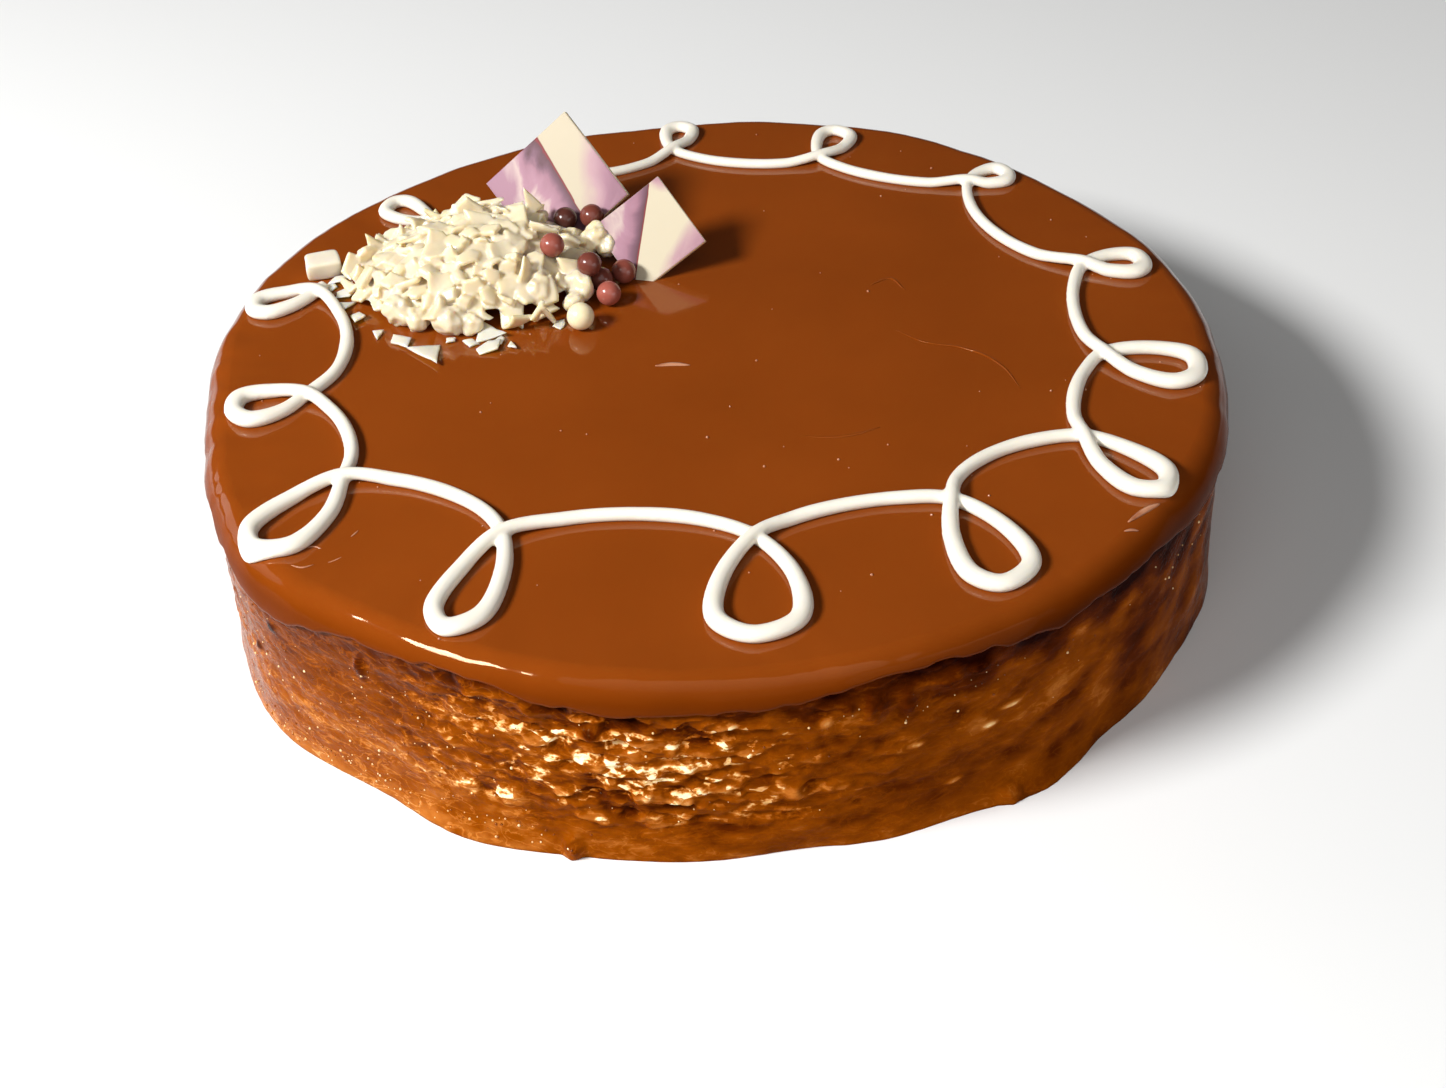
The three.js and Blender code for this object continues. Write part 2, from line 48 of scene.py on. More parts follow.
# Size of the tables of random values, and primes that mix a place into a key for one
TABLE_SIZE = 4096
NOISE_PRIMES = (73856093, 19349663, 83492791)

# Whole cake
CAKE_RADIUS = 125 * MM
CAKE_HEIGHT = 50.7 * MM
OUTLINE_SWELLS = [
    (36, 16, -1.5), (64, 14, 1.6), (96, 16, -1.6), (150, 22, 1.3),
    (186, 18, -2.6), (216, 18, 2.8), (340, 14, 1.0),
]

# Glaze cap: a tight bend at the edge, then a slack one down to a curled and ragged lip
CAP_FLOOR = 46.2 * MM
CAP_WALL = 4.2 * MM
BEND_RADIUS = 6 * MM
BEND_RADIANS = math.radians(55)
BEND_STEPS = 24
DRAPE_RADIUS = 14 * MM
DRAPE_STEPS = 12
LIP_LEVEL = 43.4 * MM
LIP_CURL = 1.6 * MM
LIP_STEPS = 8
LIP_RAGGEDNESS = 0.8 * MM
LIP_WAVES = [
    (14, 14, 1.2), (50, 12, -1.5), (86, 15, 1.0), (121, 12, -2.0), (156, 14, 1.4),
    (219, 13, -3.8), (242, 10, 1.7), (261, 15, -1.2), (290, 15, 1.7), (332, 16, -1.9),
]
GLAZE_AROUND = 900
TOP_RINGS = 34

# Waves and dimples of the glaze in millimetres, each from a broad and a narrow noise. The dimples
# start near the edge and are deepest at the left.
WAVE_MIX = (0.10, 0.04)
DIMPLE_MIX = (1, 0.4)
DIMPLE_DEPTH = 0.34
RIM_WOBBLE = 0.3
DIMPLED = (185, 70)
CALM_DIMPLES = 0.35
DIMPLE_START = 98 * MM
DIMPLE_FADE = 18 * MM

# How light the glaze is from 0 to 1, and the painted shade where it sags, more so at the right
GLAZE_TONE = 0.9
SAG_DEPTH = 6 * MM
SAG_PAINTED_SHADE = 0.42
RIGHT_SAG_PAINTED_SHADE = 0.4
RIGHT_SAG = (310, 60)

# Small marks on the glaze: bubbles, some along the strand and others apart from it, lifted by a
# share of their radius, and strokes as a width and a path of x and y. Creases are as dark as the
# glaze, and the other strokes are painted glints. Bubbles are pale partly from their air and partly
# as painted glints. The section of a stroke is a share of its half width and of its height.
BUBBLE_COUNT = 110
BUBBLE_RADII = (0.14 * MM, 0.34 * MM)
BUBBLE_ROUNDNESS = (8, 12)
BUBBLES_APART = 0.5
BUBBLE_LIFT = 0.1
BUBBLE_MARGIN = 8 * MM
BUBBLE_SCATTER = 1.6 * MM
HEAP_CLEARANCE = 3 * MM
CREASES = [
    (0.9, [(46.0, 5.6), (52.7, -0.4), (60.8, -3.4), (66.4, -7.5), (70.4, -13.6), (72.9, -22.4)]),
    (0.9, [(20.2, -37.5), (27.1, -38.5), (32.9, -37.8), (38.8, -35.5)]),
    (0.9, [(41.6, 27.2), (46.9, 30.0), (50.1, 23.9)]),
]
PAINTED_GLINT_STROKES = [
    (1.7, [(-12.8, -5.0), (-8.7, -4.5), (-4.4, -5.4)]),
    (1.6, [(89.3, -76.3), (93.7, -72.3), (97.4, -69.7)]),
    (0.8, [(87.9, -79.4), (89.5, -78.8), (91.3, -78.6)]),
    (0.6, [(-90.2, -70.5), (-88.2, -70.3), (-86.6, -71.2)]),
    (0.5, [(-84.6, -76.4), (-83.0, -75.6), (-81.8, -74.6)]),
    (0.6, [(-92.6, -76.6), (-90.2, -77.6), (-87.6, -76.8)]),
    (0.5, [(-80.4, -67.4), (-79.6, -66.2), (-79.0, -65.2)]),
]
STROKE_PROFILE = [(-1, -0.3), (-0.5, 0.55), (0, 1), (0.5, 0.55), (1, -0.3), (0, -1)]
STROKE_HEIGHT = 0.14 * MM
STROKE_LIFT = 0.08 * MM
STROKE_TAPER = 0.7
STROKE_STEPS = 8

# Sponge side: plates of crumb at the front, smears at the right and a calm wet foot. Columns are
# close together over the crumbly front and wider apart elsewhere.
FINE_SPAN = (205, 315)
FINE_COLUMNS = 570
COARSE_COLUMNS = 430
SIDE_ROWS = 94
SIDE_SETBACK = 2.6 * MM
SIDE_OVERLAP = 1.0 * MM
CAP_GAP = 0.2 * MM
FOOT_HEIGHT = 9 * MM
FOOT_FLARE = 0.6 * MM
FOOT_SWELLS = [
    (20, 14, 1.2), (72, 16, -1.0), (118, 14, 1.6), (165, 14, -0.8),
    (243, 14, 2.2), (274, 13, -2.0), (303, 12, 2.8),
]
CRUMBLY = (259, 38)
SMEARED = (325, 75)
SHINY = (228, 48)
# Stretch and heights where pale gold glints are painted on the crumb
GLINTING = (258, 27)
GLINTING_HEIGHTS = (9 * MM, 42 * MM)
GLINTING_FADE = 4 * MM
CALM_HEIGHT = 6 * MM
CALM_FADE = 7 * MM

# Plates of crumb: the number round the cake and the height of one, then the same for all: how far
# their middles stray, how they lean up and aside, their level, the sharpness of their edges and
# their strides through the table
LARGE_PLATES = (130, 3.4 * MM)
SMALL_PLATES = (300, 1.6 * MM)
PLATE_SHIFT = 0.4
PLATE_LEANS = ((-0.35, -0.4), (0.95, 0.4))
PLATE_LEVEL = 0.3
PLATE_SHARPNESS = 9
PLATE_STRIDES = (97, 1013)

# Noise on the side: width and height of its lumps in millimetres, and a seed of its own
FRONT_PATCHES = (13, 7, 1)
FAR_PATCHES = (30, 16, 2)
BROAD_LUMPS = (18, 11, 0)
FINE_LUMPS = (5, 4, 7)
FINEST_LUMPS = (2.2, 1.8, 8)
SMEAR_LUMPS = (7, 6, 18)
LONG_STREAKS = (7, 2.2, 10)
SHORT_STREAKS = (3, 1.2, 11)

# Smears, which run uphill to the right: their slope, and the length and height of a noise cell
SMEAR_RADIANS = math.radians(26)
SMEAR_CELL = (17 * MM, 5.2 * MM, 1)

# Roughness of the side as middle, reach, least and most, and heights of its relief. A mix has a
# weight for each layer of relief or of noise, and the fine one is in millimetres.
FRONT_ROUGHNESS = (1.1, 0.9, 0.2, 1)
FAR_ROUGHNESS = (0.25, 0.6, 0.08, 0.5)
WET_CALM = 0.6
BROAD_RELIEF = 0.7 * MM
SMEAR_RELIEF = 0.3 * MM
SMEAR_MIX = (0.6, 0.7)
PLATE_MIX = (0.7, 0.6)
FINE_MIX = (0.12, 0.08)

# Painted glints, pale gold on the front crumb and fainter on other crumb: how far a place faces up
# towards the light by its plates and streaks, how steeply the painted glint grows and where it starts
STREAK_MIX = (1, 0.5)
UPWARD_MIX = (0.8, 0.5, 1.5)
GOLD_GROWTH = 1.8
GOLD_START = 0.1
CRUMB_GROWTH = 0.5
CRUMB_START = 0.9

# Tones of the side from 0 for dark to 1 for pale gold: the crumb itself, then painted light and
# shade by relief, smears, foot and band, and painted shade under the lip and at the left and right
CRUMB_TONE = 0.39
LEDGE_TONE = 0.4
RELIEF_PAINTED_SHADE = 0.13
RELIEF_DEPTH = 0.6 * MM
SMEAR_TONE = 0.17
# The foot is lighter as a syrup skirt, and at the left also by a painted warm glow
FOOT_TONE = 0.06
LEFT_FOOT_PAINTED_GLOW = 0.2
LEFT_SHADE = 0.02
BAND_TONE = 0.15
LIP_SHADE = 0.16
RIGHT_LIP_SHADE = 0.32
RIGHT_SHADE = 0.01
LIP_SHADE_HEIGHT = 11 * MM
LIP_SHADE_UNEVENNESS = 0.5
LEFT_SIDE = (225, 50)
RIGHT_SIDE = (310, 55)

# Pale band low on the left, as angles with the heights of its middle
BAND_ANGLES = (205, 255)
BAND_LEVELS = (18 * MM, 9 * MM)
BAND_HALF_HEIGHT = 7 * MM

# Beads of caramel on the side: count, span of angles and span of heights
BEAD_PATCHES = [
    (150, (206, 247), (8, 36)), (130, (206, 257), (1, 7)), (60, (244, 280), (8, 41)),
    (26, (280, 300), (30, 42)), (36, (300, 335), (22, 43)), (60, (335, 566), (2, 38)),
]
BEAD_RADII = (0.10 * MM, 0.34 * MM)
BEAD_ROUNDNESS = (7, 10)
# Share of beads painted pale gold as sparkles, and their painted tone
PAINTED_SPARKLE_SHARE = 0.5
PAINTED_SPARKLE_TONE = 0.88

# Knobs of crumb and drops of glaze, and flat painted glint flecks: angle, height, half width, half
# height, rise and change of tone
SIDE_KNOBS = [
    (256.7, 35.7, 1.8, 1.2, 1.0, -0.40), (250.8, 40.0, 3.2, 1.6, 1.2, 0.06),
    (284.6, 38.5, 3.0, 4.0, 1.6, -0.14), (288.0, 37.5, 1.6, 3.4, 1.2, -0.10),
    (281.8, 39.5, 1.8, 1.6, 1.0, -0.06), (292.5, 40.0, 2.4, 1.4, 1.0, -0.08),
    (296.0, 41.0, 2.6, 1.6, 1.3, -0.12), (261.1, 19.3, 2.2, 1.8, 1.2, 0.04),
    (267.1, 21.0, 1.8, 1.4, 0.9, 0.04), (253.9, 2.4, 2.1, 3.4, 2.0, -0.16),
    (299.5, 1.8, 2.6, 2.4, 1.8, 0.08), (217.4, 33.5, 1.5, 1.2, 0.7, -0.36),
    (230.6, 36.0, 1.5, 3.0, 0.9, -0.24), (213.0, 22.0, 1.3, 1.2, 0.6, -0.24),
    (40.0, 30.0, 2.4, 1.8, 1.0, -0.30), (98.0, 21.0, 2.2, 1.6, 0.9, -0.24),
    (131.0, 35.0, 1.9, 1.5, 0.9, -0.32), (162.0, 2.0, 2.2, 2.8, 1.6, -0.10),
    # Knobs from here with a low rise and a tone change of 0.3 and more are painted glint flecks
    (297.3, 23.2, 2.0, 0.9, 0.4, 0.40), (299.8, 26.2, 2.8, 0.7, 0.4, 0.36),
    (289.0, 25.0, 1.8, 0.8, 0.4, 0.30), (293.3, 10.7, 2.0, 0.7, 0.4, 0.36),
    (279.6, 37.0, 1.6, 1.4, 0.5, 0.40), (276.5, 18.0, 3.0, 2.4, 0.8, 0.12),
]
KNOB_UNEVENNESS = 0.5
KNOB_STEEPNESS = 1.5

# Piped strand, one row a loop: crossing angle and radius, tip angle and radius, the bulge on the
# leading and on the trailing side, and the sag of the arc that follows
LOOPS = [
    (160.1, 104.8, 166.0, 116.6, 3.2, 4.2, 9.0),
    (186.8, 96.8, 188.8, 113.7, 5.0, 5.6, 5.3),
    (208.8, 95.8, 215.0, 123.5, 7.0, 5.7, 7.0),
    (236.4, 84.7, 240.6, 117.0, 5.8, 4.9, 7.8),
    (276.3, 76.5, 273.4, 109.6, 9.6, 8.0, 5.2),
    (308.3, 84.0, 301.6, 113.6, 8.5, 5.2, 8.0),
    (332.2, 95.3, 326.3, 118.8, 5.0, 5.0, 4.2),
    (353.5, 94.8, 349.2, 116.4, 7.4, 5.2, 4.7),
    (17.6, 100.5, 14.2, 114.0, 5.4, 3.0, 9.3),
    (46.5, 104.3, 43.4, 114.0, 4.4, 2.8, 5.1),
    (70.4, 99.4, 70.4, 115.2, 3.2, 5.0, 5.8),
    (93.7, 102.3, 92.2, 115.3, 3.2, 3.6, 6.0),
    (114.4, 101.2, 113.4, 111.4, 3.2, 4.0, 6.0),
    (136.1, 99.6, 135.8, 114.5, 4.8, 3.0, 0.0),
]
STRAND_START = (158.2, 104.2)
STRAND_END = (141, 96)
STRAND_WIDTH = 3.5 * MM
TIP_WIDTH = 4.7 * MM
STRAND_HEIGHT = 2.8 * MM
STRAND_SINK = 0.15 * MM
STRAND_STIFFNESS = 0.985
STRAND_FLATNESS = 0.12
STRAND_UNEVENNESS = 0.06
BACK_SLIMNESS = 0.2
STRAND_SIDES = 18
STRAND_STEPS = 9
CROSSING_LIFT = 0.9 * MM
STRAND_VOXEL = 0.45 * MM
STRAND_SMOOTHING = 5

# Points of a loop's sides and of an arc, as a share of the way along it and of its bulge or sag
LOW_FLANK = (0.42, 0.9)
HIGH_FLANK = (0.85, 0.97)
ARC_PLACES = [(0.22, 0.74), (0.5, 1.0), (0.78, 0.74)]

# Heap of shavings: a mound that is lower at the left, with flakes over a core. Flakes are lifted by
# a share of their half length, and keep off the squares and pearls by another.
HEAP_MIDDLE = (-58.5 * MM, 40 * MM)
HEAP_RADII = (34 * MM, 26 * MM)
HEAP_HEIGHT = 14.5 * MM
HEAP_FULLNESS = 0.62
HEAP_SLOPE = 0.55
HEAP_VOXEL = 0.37 * MM
HEAP_SMOOTHING = 1
CORE_ROWS = 14
CORE_AROUND = 60
CORE_SHARE = 0.9
CORE_SINK = 0.7 * MM
CORE_UNEVENNESS = 0.8 * MM
FLAKE_COUNT = 150
FLAKE_SPREAD = 0.94
RIM_SHRINK = 0.24
UPRIGHT_SHARE = 0.18
UPRIGHT_TILTS = (40, 75)
LYING_TILT = 20
FLAKE_LIFTS = (-0.05, 0.3)
FLAKE_SINK = 0.2 * MM
SQUARE_CLEARANCE = 0.6
PEARL_CLEARANCE = 0.55
GOLDEN_RADIANS = math.pi * (3 - math.sqrt(5))

# One flake: half length and a power that favours short ones, the share of it that the half width
# has, thickness, corners with their stray and reach, ragged rim, bend, wedge and waves
FLAKE_HALF = (3.2 * MM, 6.2 * MM)
SMALL_FLAKES = 1.3
FLAKE_SLIMNESS = (0.5, 0.95)
FLAKE_THICKNESS = (1.3 * MM, 2.2 * MM)
FLAKE_CORNERS = (4, 7)
CORNER_STRAY = 0.25
CORNER_REACH = (0.72, 1.15)
TRIANGLE_REACH = 1.25
RIM_STEPS = 5
RIM_RAGGEDNESS = 0.015
FLAKE_BEND = 0.5
FLAKE_WEDGE = 0.4
FLAKE_WAVE = 0.1
FLAKE_WAVELENGTH = 1.2

# Section of a flake from its underside to its top: share of the way to the rim, and height in
# half thicknesses
FLAKE_PROFILE = [
    (0.4, -1.0), (0.8, -0.9), (0.96, -0.65), (1.0, -0.2),
    (1.0, 0.2), (0.96, 0.65), (0.8, 0.9), (0.4, 1.0),
]

# Bumps of lumps and pearls in their radii
BROAD_BUMP = 0.75
NARROW_BUMP = 0.35
BUMP_MIX = (1, 0.5)

# Rounded lumps in the heap: x, y, height of the middle over the glaze and radius
LUMPS = [
    (-76.0, 20.5, 3.2, 3.8), (-71.5, 17.5, 2.6, 2.8), (-63.0, 15.6, 3.2, 4.0),
    (-58.0, 15.0, 2.6, 3.0), (-41.0, 22.9, 7.0, 3.4), (-31.0, 26.6, 4.0, 3.6),
    (-32.5, 21.5, 2.8, 2.6), (-29.5, 44.0, 5.6, 3.2), (-26.8, 45.4, 7.8, 3.0),
    (-24.4, 43.8, 5.2, 2.8), (-33.5, 45.5, 7.0, 3.0),
]
LUMP_ROUNDNESS = (20, 30)
LUMP_BUMPS = 0.34

# Single flakes that stand out: x, y, height over the glaze, half length, roll, tilt and spin
HERO_FLAKES = [
    (-43.0, 51.0, 14.0, 4.8, 10, 80, 10), (-85.0, 47.2, 4.0, 5.4, 33, 76, 10),
    (-47.0, 13.4, 3.0, 4.4, 100, 62, 200), (-42.0, 13.6, 3.2, 4.6, 40, 68, 240),
    (-38.5, 15.6, 2.6, 3.4, 20, 58, 110), (-69.5, 54.5, 11.0, 4.8, 90, 55, 150),
    (-63.0, 54.5, 12.0, 5.0, 30, 60, 185), (-56.0, 54.5, 13.0, 5.0, 70, 55, 185),
    (-50.0, 54.0, 12.6, 4.6, 50, 56, 170), (-50.5, 17.6, 2.4, 4.8, 30, 38, -10),
    (-45.0, 18.2, 2.8, 5.0, 80, 42, 8), (-39.6, 20.0, 2.6, 4.4, 120, 40, 20),
]
HERO_THICKNESS = 1.3 * MM
HERO_BEND = 0.14

# Shards on the glaze: x, y, half length, roll and tilt
SHARDS = [
    (-69.2, 6.6, 7.2, 20, 3), (-75.2, 10.6, 3.8, 95, 5), (-53.5, 6.3, 3.6, 10, 6),
    (-53.2, 13.0, 4.4, 170, 8), (-58.1, 8.9, 2.2, 60, 8), (-50.7, 9.2, 2.6, 130, 10),
    (-47.5, 6.4, 2.0, 200, 9), (-93.4, 41.6, 3.2, 40, 8), (-91.0, 35.0, 3.4, 120, 9),
    (-90.6, 28.6, 3.0, 200, 10), (-87.0, 23.4, 2.8, 280, 12), (-95.2, 39.0, 2.4, 10, 6),
    (-81.0, 15.6, 2.4, 75, 8), (-63.0, 10.4, 1.8, 140, 5), (-36.0, 15.4, 2.4, 310, 14),
    (-82.0, 62.0, 3.0, 30, 8),
]
SHARD_THICKNESS = 0.7 * MM
SHARD_BEND = 0.08
CHUNK_PLACE = (-97.4, 45.8, 3.0)
CHUNK_TURNS = (0, 8, 14)
CHUNK_HALF = (4.4 * MM, 3.0 * MM, 2.6 * MM)
CHUNK_ROUNDNESS = (24, 40)
CHUNK_SQUARENESS = 0.28
CHUNK_UNEVENNESS = 0.7 * MM

# Chocolate pearls: x, y, height of the middle over the glaze and how light the brown ones are.
# Flakes keep off the way from a pearl to the open side.
PEARL_RADIUS = 3.1 * MM
PEARL_ROUNDNESS = (24, 36)
PEARL_BUMPS = 0.012
BROWN_PEARLS = [
    (-37.5, 32.8, 12.9, 0.8), (-35.0, 54.2, 8.0, 0.1), (-28.0, 52.5, 9.4, 0.42),
    (-28.4, 28.8, 9.2, 0.4), (-25.9, 31.2, 3.3, 0.48), (-20.2, 34.4, 3.3, 0.62),
    (-23.9, 24.2, 3.3, 0.9), (-24.8, 62.0, 3.3, 0.05),
]
WHITE_PEARL = (-30.8, 13.7, 3.5)
WHITE_PEARL_RADIUS = 3.4 * MM
WHITE_PEARL_BUMPS = 0.015
OPEN_SIDE = np.array([0.0, -0.79, 0.61])
OPEN_REACH = 14 * MM

# Marbled squares: lower corner, side, turn, lean and roll. The print has a sharp dark edge and a
# soft fade, each a line with the angle of its normal and its distance from the lower corner in
# sides, and a mauve tip beyond a distance along the diagonal.
SQUARE_THICKNESS = 1.7 * MM
SQUARE_STEPS = 56
SQUARE_BEVEL = 0.2 * MM
SQUARE_WARP = 0.2 * MM
SQUARE_SINK = 1.0 * MM
SQUARES = {
    "square_back": (
        (-40.0, 52.6, 45.7), 28.5, -24.3, 34.6, 5, ((-6.7, 0.533), (-37.3, 0.268), 2.0)),
    "square_front": (
        (-16.1, 34.0, 47.8), 21, -16, 38, -1.5, ((-45.0, -0.083), (-69.8, -0.029), 1.2)),
}
# Cream of each square's print; the front one is paler as painted light, to even out the light the two
# squares get
SQUARE_CREAMS_WITH_PAINTED_LIGHT = {"square_back": (0.485, 0.420, 0.305), "square_front": (0.545, 0.480, 0.350)}

# Print of a square: its place runs from 0 to 1 with the dark edge in the middle, and the swirls
# grow with the distance from that edge and from the cream
PRINT_EDGE = 0.5
CREAM_START = 0.05
TIP_PULL = 1.6
EDGE_CALM = 0.16
CREAM_CALM = 0.3
CREAM_SWIRL = 0.5

# Camera as in the photograph
CAMERA_PLACE = (0.0, -0.4904, 0.3669)
CAMERA_PITCH = 37.396
CAMERA_YAW = 0.167
CAMERA_ROLL = -2.791
CAMERA_LENS = 59.75
SENSOR_WIDTH = 36.0

# Lights: name, place, target, width, height and power in watts
LIGHTS = [
    ("key", (-0.85, -0.46, 0.82), (0, 0, 0.04), 0.45, 0.26, 24.5),
    ("front", (0.05, -1.0, 1.0), (0, 0, 0.04), 1.5, 1.5, 6),
    ("low_fill", (0.9, -0.9, 0.35), (0, 0, 0.03), 1.0, 0.6, 3),
    ("left_sheen", (-1.15, 0.42, 0.42), (-0.05, 0, 0.04), 0.9, 0.7, 2.5),
]
WORLD_STRENGTH = 0.03
FLOOR_HALF = 3.0


# Small helpers
def bell(angle, middle, half_width):
    """Soft bump from 0 to 1 round an angle."""
    away = np.abs((angle - middle + 540) % 360 - 180) / half_width
    return np.cos(np.minimum(away, 1) * math.pi / 2) ** 2


def swell_at(swells, angle):
    """Sum of soft bumps in metres."""
    return sum(rise * MM * bell(angle, middle, half_width) for middle, half_width, rise in swells)


def between(share, limits):
    return limits[0] + (limits[1] - limits[0]) * share


def mixed(weights, *layers):
    """Sum of layers, each with its weight."""
    return sum(weight * layer for weight, layer in zip(weights, layers))


def lattice_noise(points, cell, seed):
    """Smooth noise from -1 to 1 at an array of points, with lattice cells of the given size."""
    table = np.random.default_rng(seed).uniform(-1, 1, TABLE_SIZE)
    places = points / np.asarray(cell)
    low = np.floor(places).astype(np.int64)
    part = places - low
    part = part * part * (3 - 2 * part)
    total = np.zeros(len(points))
    for corner in range(8):
        step = np.array([corner & 1, corner >> 1 & 1, corner >> 2 & 1])
        key = np.bitwise_xor.reduce((low + step) * NOISE_PRIMES, axis=1) % TABLE_SIZE
        weight = np.prod(np.where(step, part, 1 - part), axis=1)
        total += weight * table[key]
    return total


def shaken(points, cell, reach, seed):
    """Points moved by smooth noise in all three directions."""
    moves = [lattice_noise(points, cell, seed + axis) for axis in range(3)]
    return points + reach * np.column_stack(moves)


def mesh_piece(name, points, faces, material):
    """Object from points and faces, shaded smooth."""
    mesh = bpy.data.meshes.new(name)
    mesh.from_pydata(np.asarray(points).tolist(), [], [list(face) for face in faces])
    mesh.polygons.foreach_set("use_smooth", [True] * len(mesh.polygons))
    mesh.update()
    mesh.materials.append(material)
    piece = bpy.data.objects.new(name, mesh)
    bpy.context.scene.collection.objects.link(piece)
    return piece


def store(piece, name, values):
    """Keeps one number for each point of a piece."""
    layer = piece.data.attributes.new(name, "FLOAT", "POINT")
    layer.data.foreach_set("value", np.asarray(values, dtype=np.float32))


def dress(piece, slot, *nodes):
    """The piece rides on the cake and stands for the nodes; the slot is not used."""
    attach(piece, "root")
    if nodes:
        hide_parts(*nodes)


def nodes_named(start):
    return [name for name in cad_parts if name.startswith(start)]


def ring_faces(rows, columns):
    """Quads between rows of a grid that closes on itself along its columns."""
    faces = []
    for row in range(rows - 1):
        for column in range(columns):
            following = (column + 1) % columns
            low = row * columns
            high = low + columns
            faces.append((low + column, low + following, high + following, high + column))
    return faces


def capped(rings, lower, upper):
    """Closed body from rings of points, with a point below the first and above the last."""
    columns = len(rings[0])
    points = np.vstack([*rings, [lower], [upper]])
    faces = ring_faces(len(rings), columns)
    bottom = len(rings) * columns
    last = bottom - columns
    for column in range(columns):
        following = (column + 1) % columns
        faces.append((bottom, following, column))
        faces.append((bottom + 1, last + column, last + following))
    return points, faces


def joined(parts):
    """One list of points and one of faces from several."""
    points = []
    faces = []
    start = 0
    for part_points, part_faces in parts:
        points.append(part_points)
        faces.extend(tuple(corner + start for corner in face) for face in part_faces)
        start += len(part_points)
    return np.vstack(points), faces


def turned(points, roll, tilt, spin, place):
    """Points rolled in their plane, tilted about x, spun about z and moved."""
    turn = Matrix.Rotation(math.radians(spin), 3, "Z") @ Matrix.Rotation(math.radians(tilt), 3, "X")
    turn = turn @ Matrix.Rotation(math.radians(roll), 3, "Z")
    return points @ np.array(turn).T + np.asarray(place)


def on_glaze(x, y, rise):
    """Place from millimetres and a height over the flat glaze."""
    return np.array([x * MM, y * MM, CAKE_HEIGHT + rise * MM])


def polar(angle, radius):
    """Place seen from above, with the radius in millimetres."""
    turn = math.radians(angle)
    return np.array([radius * MM * math.cos(turn), radius * MM * math.sin(turn)])


def directions(angles):
    return np.column_stack([np.cos(np.radians(angles)), np.sin(np.radians(angles))])


def outline_radius(angle):
    return CAKE_RADIUS + swell_at(OUTLINE_SWELLS, angle)


def lip_level(angle):
    return LIP_LEVEL + swell_at(LIP_WAVES, angle)


def drape_at(slope):
    """How far the glaze has run outwards and dropped where it slopes by an angle in radians."""
    tight = np.minimum(slope, BEND_RADIANS)
    run = BEND_RADIUS * np.sin(tight) + DRAPE_RADIUS * (np.sin(slope) - np.sin(tight))
    drop = BEND_RADIUS * (1 - np.cos(tight)) + DRAPE_RADIUS * (np.cos(tight) - np.cos(slope))
    return run, drop


BEND_RUN, BEND_DROP = drape_at(BEND_RADIANS)
FULL_RUN = drape_at(math.pi / 2)[0]


def glaze_height(x, y):
    """Height of the glaze over points seen from above."""
    angle = np.degrees(np.arctan2(y, x)) % 360
    run = np.clip(np.hypot(x, y) - (outline_radius(angle) - FULL_RUN), 0, FULL_RUN)
    slack = math.sin(BEND_RADIANS) + (run - BEND_RUN) / DRAPE_RADIUS
    slope = np.arcsin(np.where(run < BEND_RUN, run / BEND_RADIUS, np.minimum(slack, 1)))
    return CAKE_HEIGHT - drape_at(slope)[1]


# Materials
FOOD_IOR = 1.45
FACET_WOBBLE = 0.6
MIRROR_HEIGHTS = (CAKE_HEIGHT - 2.8 * MM, CAKE_HEIGHT - 0.3 * MM)
# Crumb from dark to pale gold; the pale gold end serves the painted glints and sparkles
CARAMEL_STOPS = [
    (0.0, (0.012, 0.001, 0.0003)), (0.25, (0.078, 0.012, 0.0004)), (0.5, (0.225, 0.048, 0.001)),
    (0.68, (0.430, 0.136, 0.020)), (0.84, (0.720, 0.420, 0.160)), (1.0, (0.940, 0.800, 0.500)),
]


def new_material(name, **settings):
    """Principled material with fixed values on its own sockets."""
    material = bpy.data.materials.new(name)
    material.use_nodes = True
    shader = material.node_tree.nodes["Principled BSDF"]
    for socket, value in settings.items():
        title = socket.replace("_", " ").title().replace("Ior", "IOR")
        shader.inputs[title].default_value = value
    return material, material.node_tree, shader


def softness(weight, scale, *reach):
    """Settings for light that spreads below the skin, by millimetres of red, green and blue."""
    radius = [part * MM for part in reach]
    return {"subsurface_weight": weight, "subsurface_scale": scale, "subsurface_radius": radius}


def feed(tree, socket, value):
    """Sets a number on a socket, or links another node's result to it."""
    if isinstance(value, bpy.types.NodeSocket):
        tree.links.new(value, socket)
    else:
        socket.default_value = value


def node(tree, kind, **settings):
    """Node with its sockets fed, and with other values set on itself."""
    made = tree.nodes.new(kind)
    for name, value in settings.items():
        if name in made.inputs:
            feed(tree, made.inputs[name], value)
        else:
            setattr(made, name, value)
    return made


def maths(tree, kind, operation, *values):
    """Node of one operation on numbers and results, taken in order."""
    made = node(tree, kind, operation=operation)
    for socket, value in zip(made.inputs, values):
        feed(tree, socket, value)
    return made.outputs[0]


def space_of(tree, stretch=(1, 1, 1)):
    """Object space, with a stretch."""
    where = node(tree, "ShaderNodeTexCoord").outputs["Object"]
    return node(tree, "ShaderNodeMapping", Vector=where, Scale=stretch).outputs["Vector"]


def noise_of(tree, scale, detail=3.0, stretch=(1, 1, 1), swirl=0.0):
    """Noise in object space, with a stretch of the space and a swirl of the noise."""
    space = space_of(tree, stretch)
    settings = {"Vector": space, "Scale": scale, "Detail": detail, "Distortion": swirl}
    return node(tree, "ShaderNodeTexNoise", **settings).outputs["Fac"]


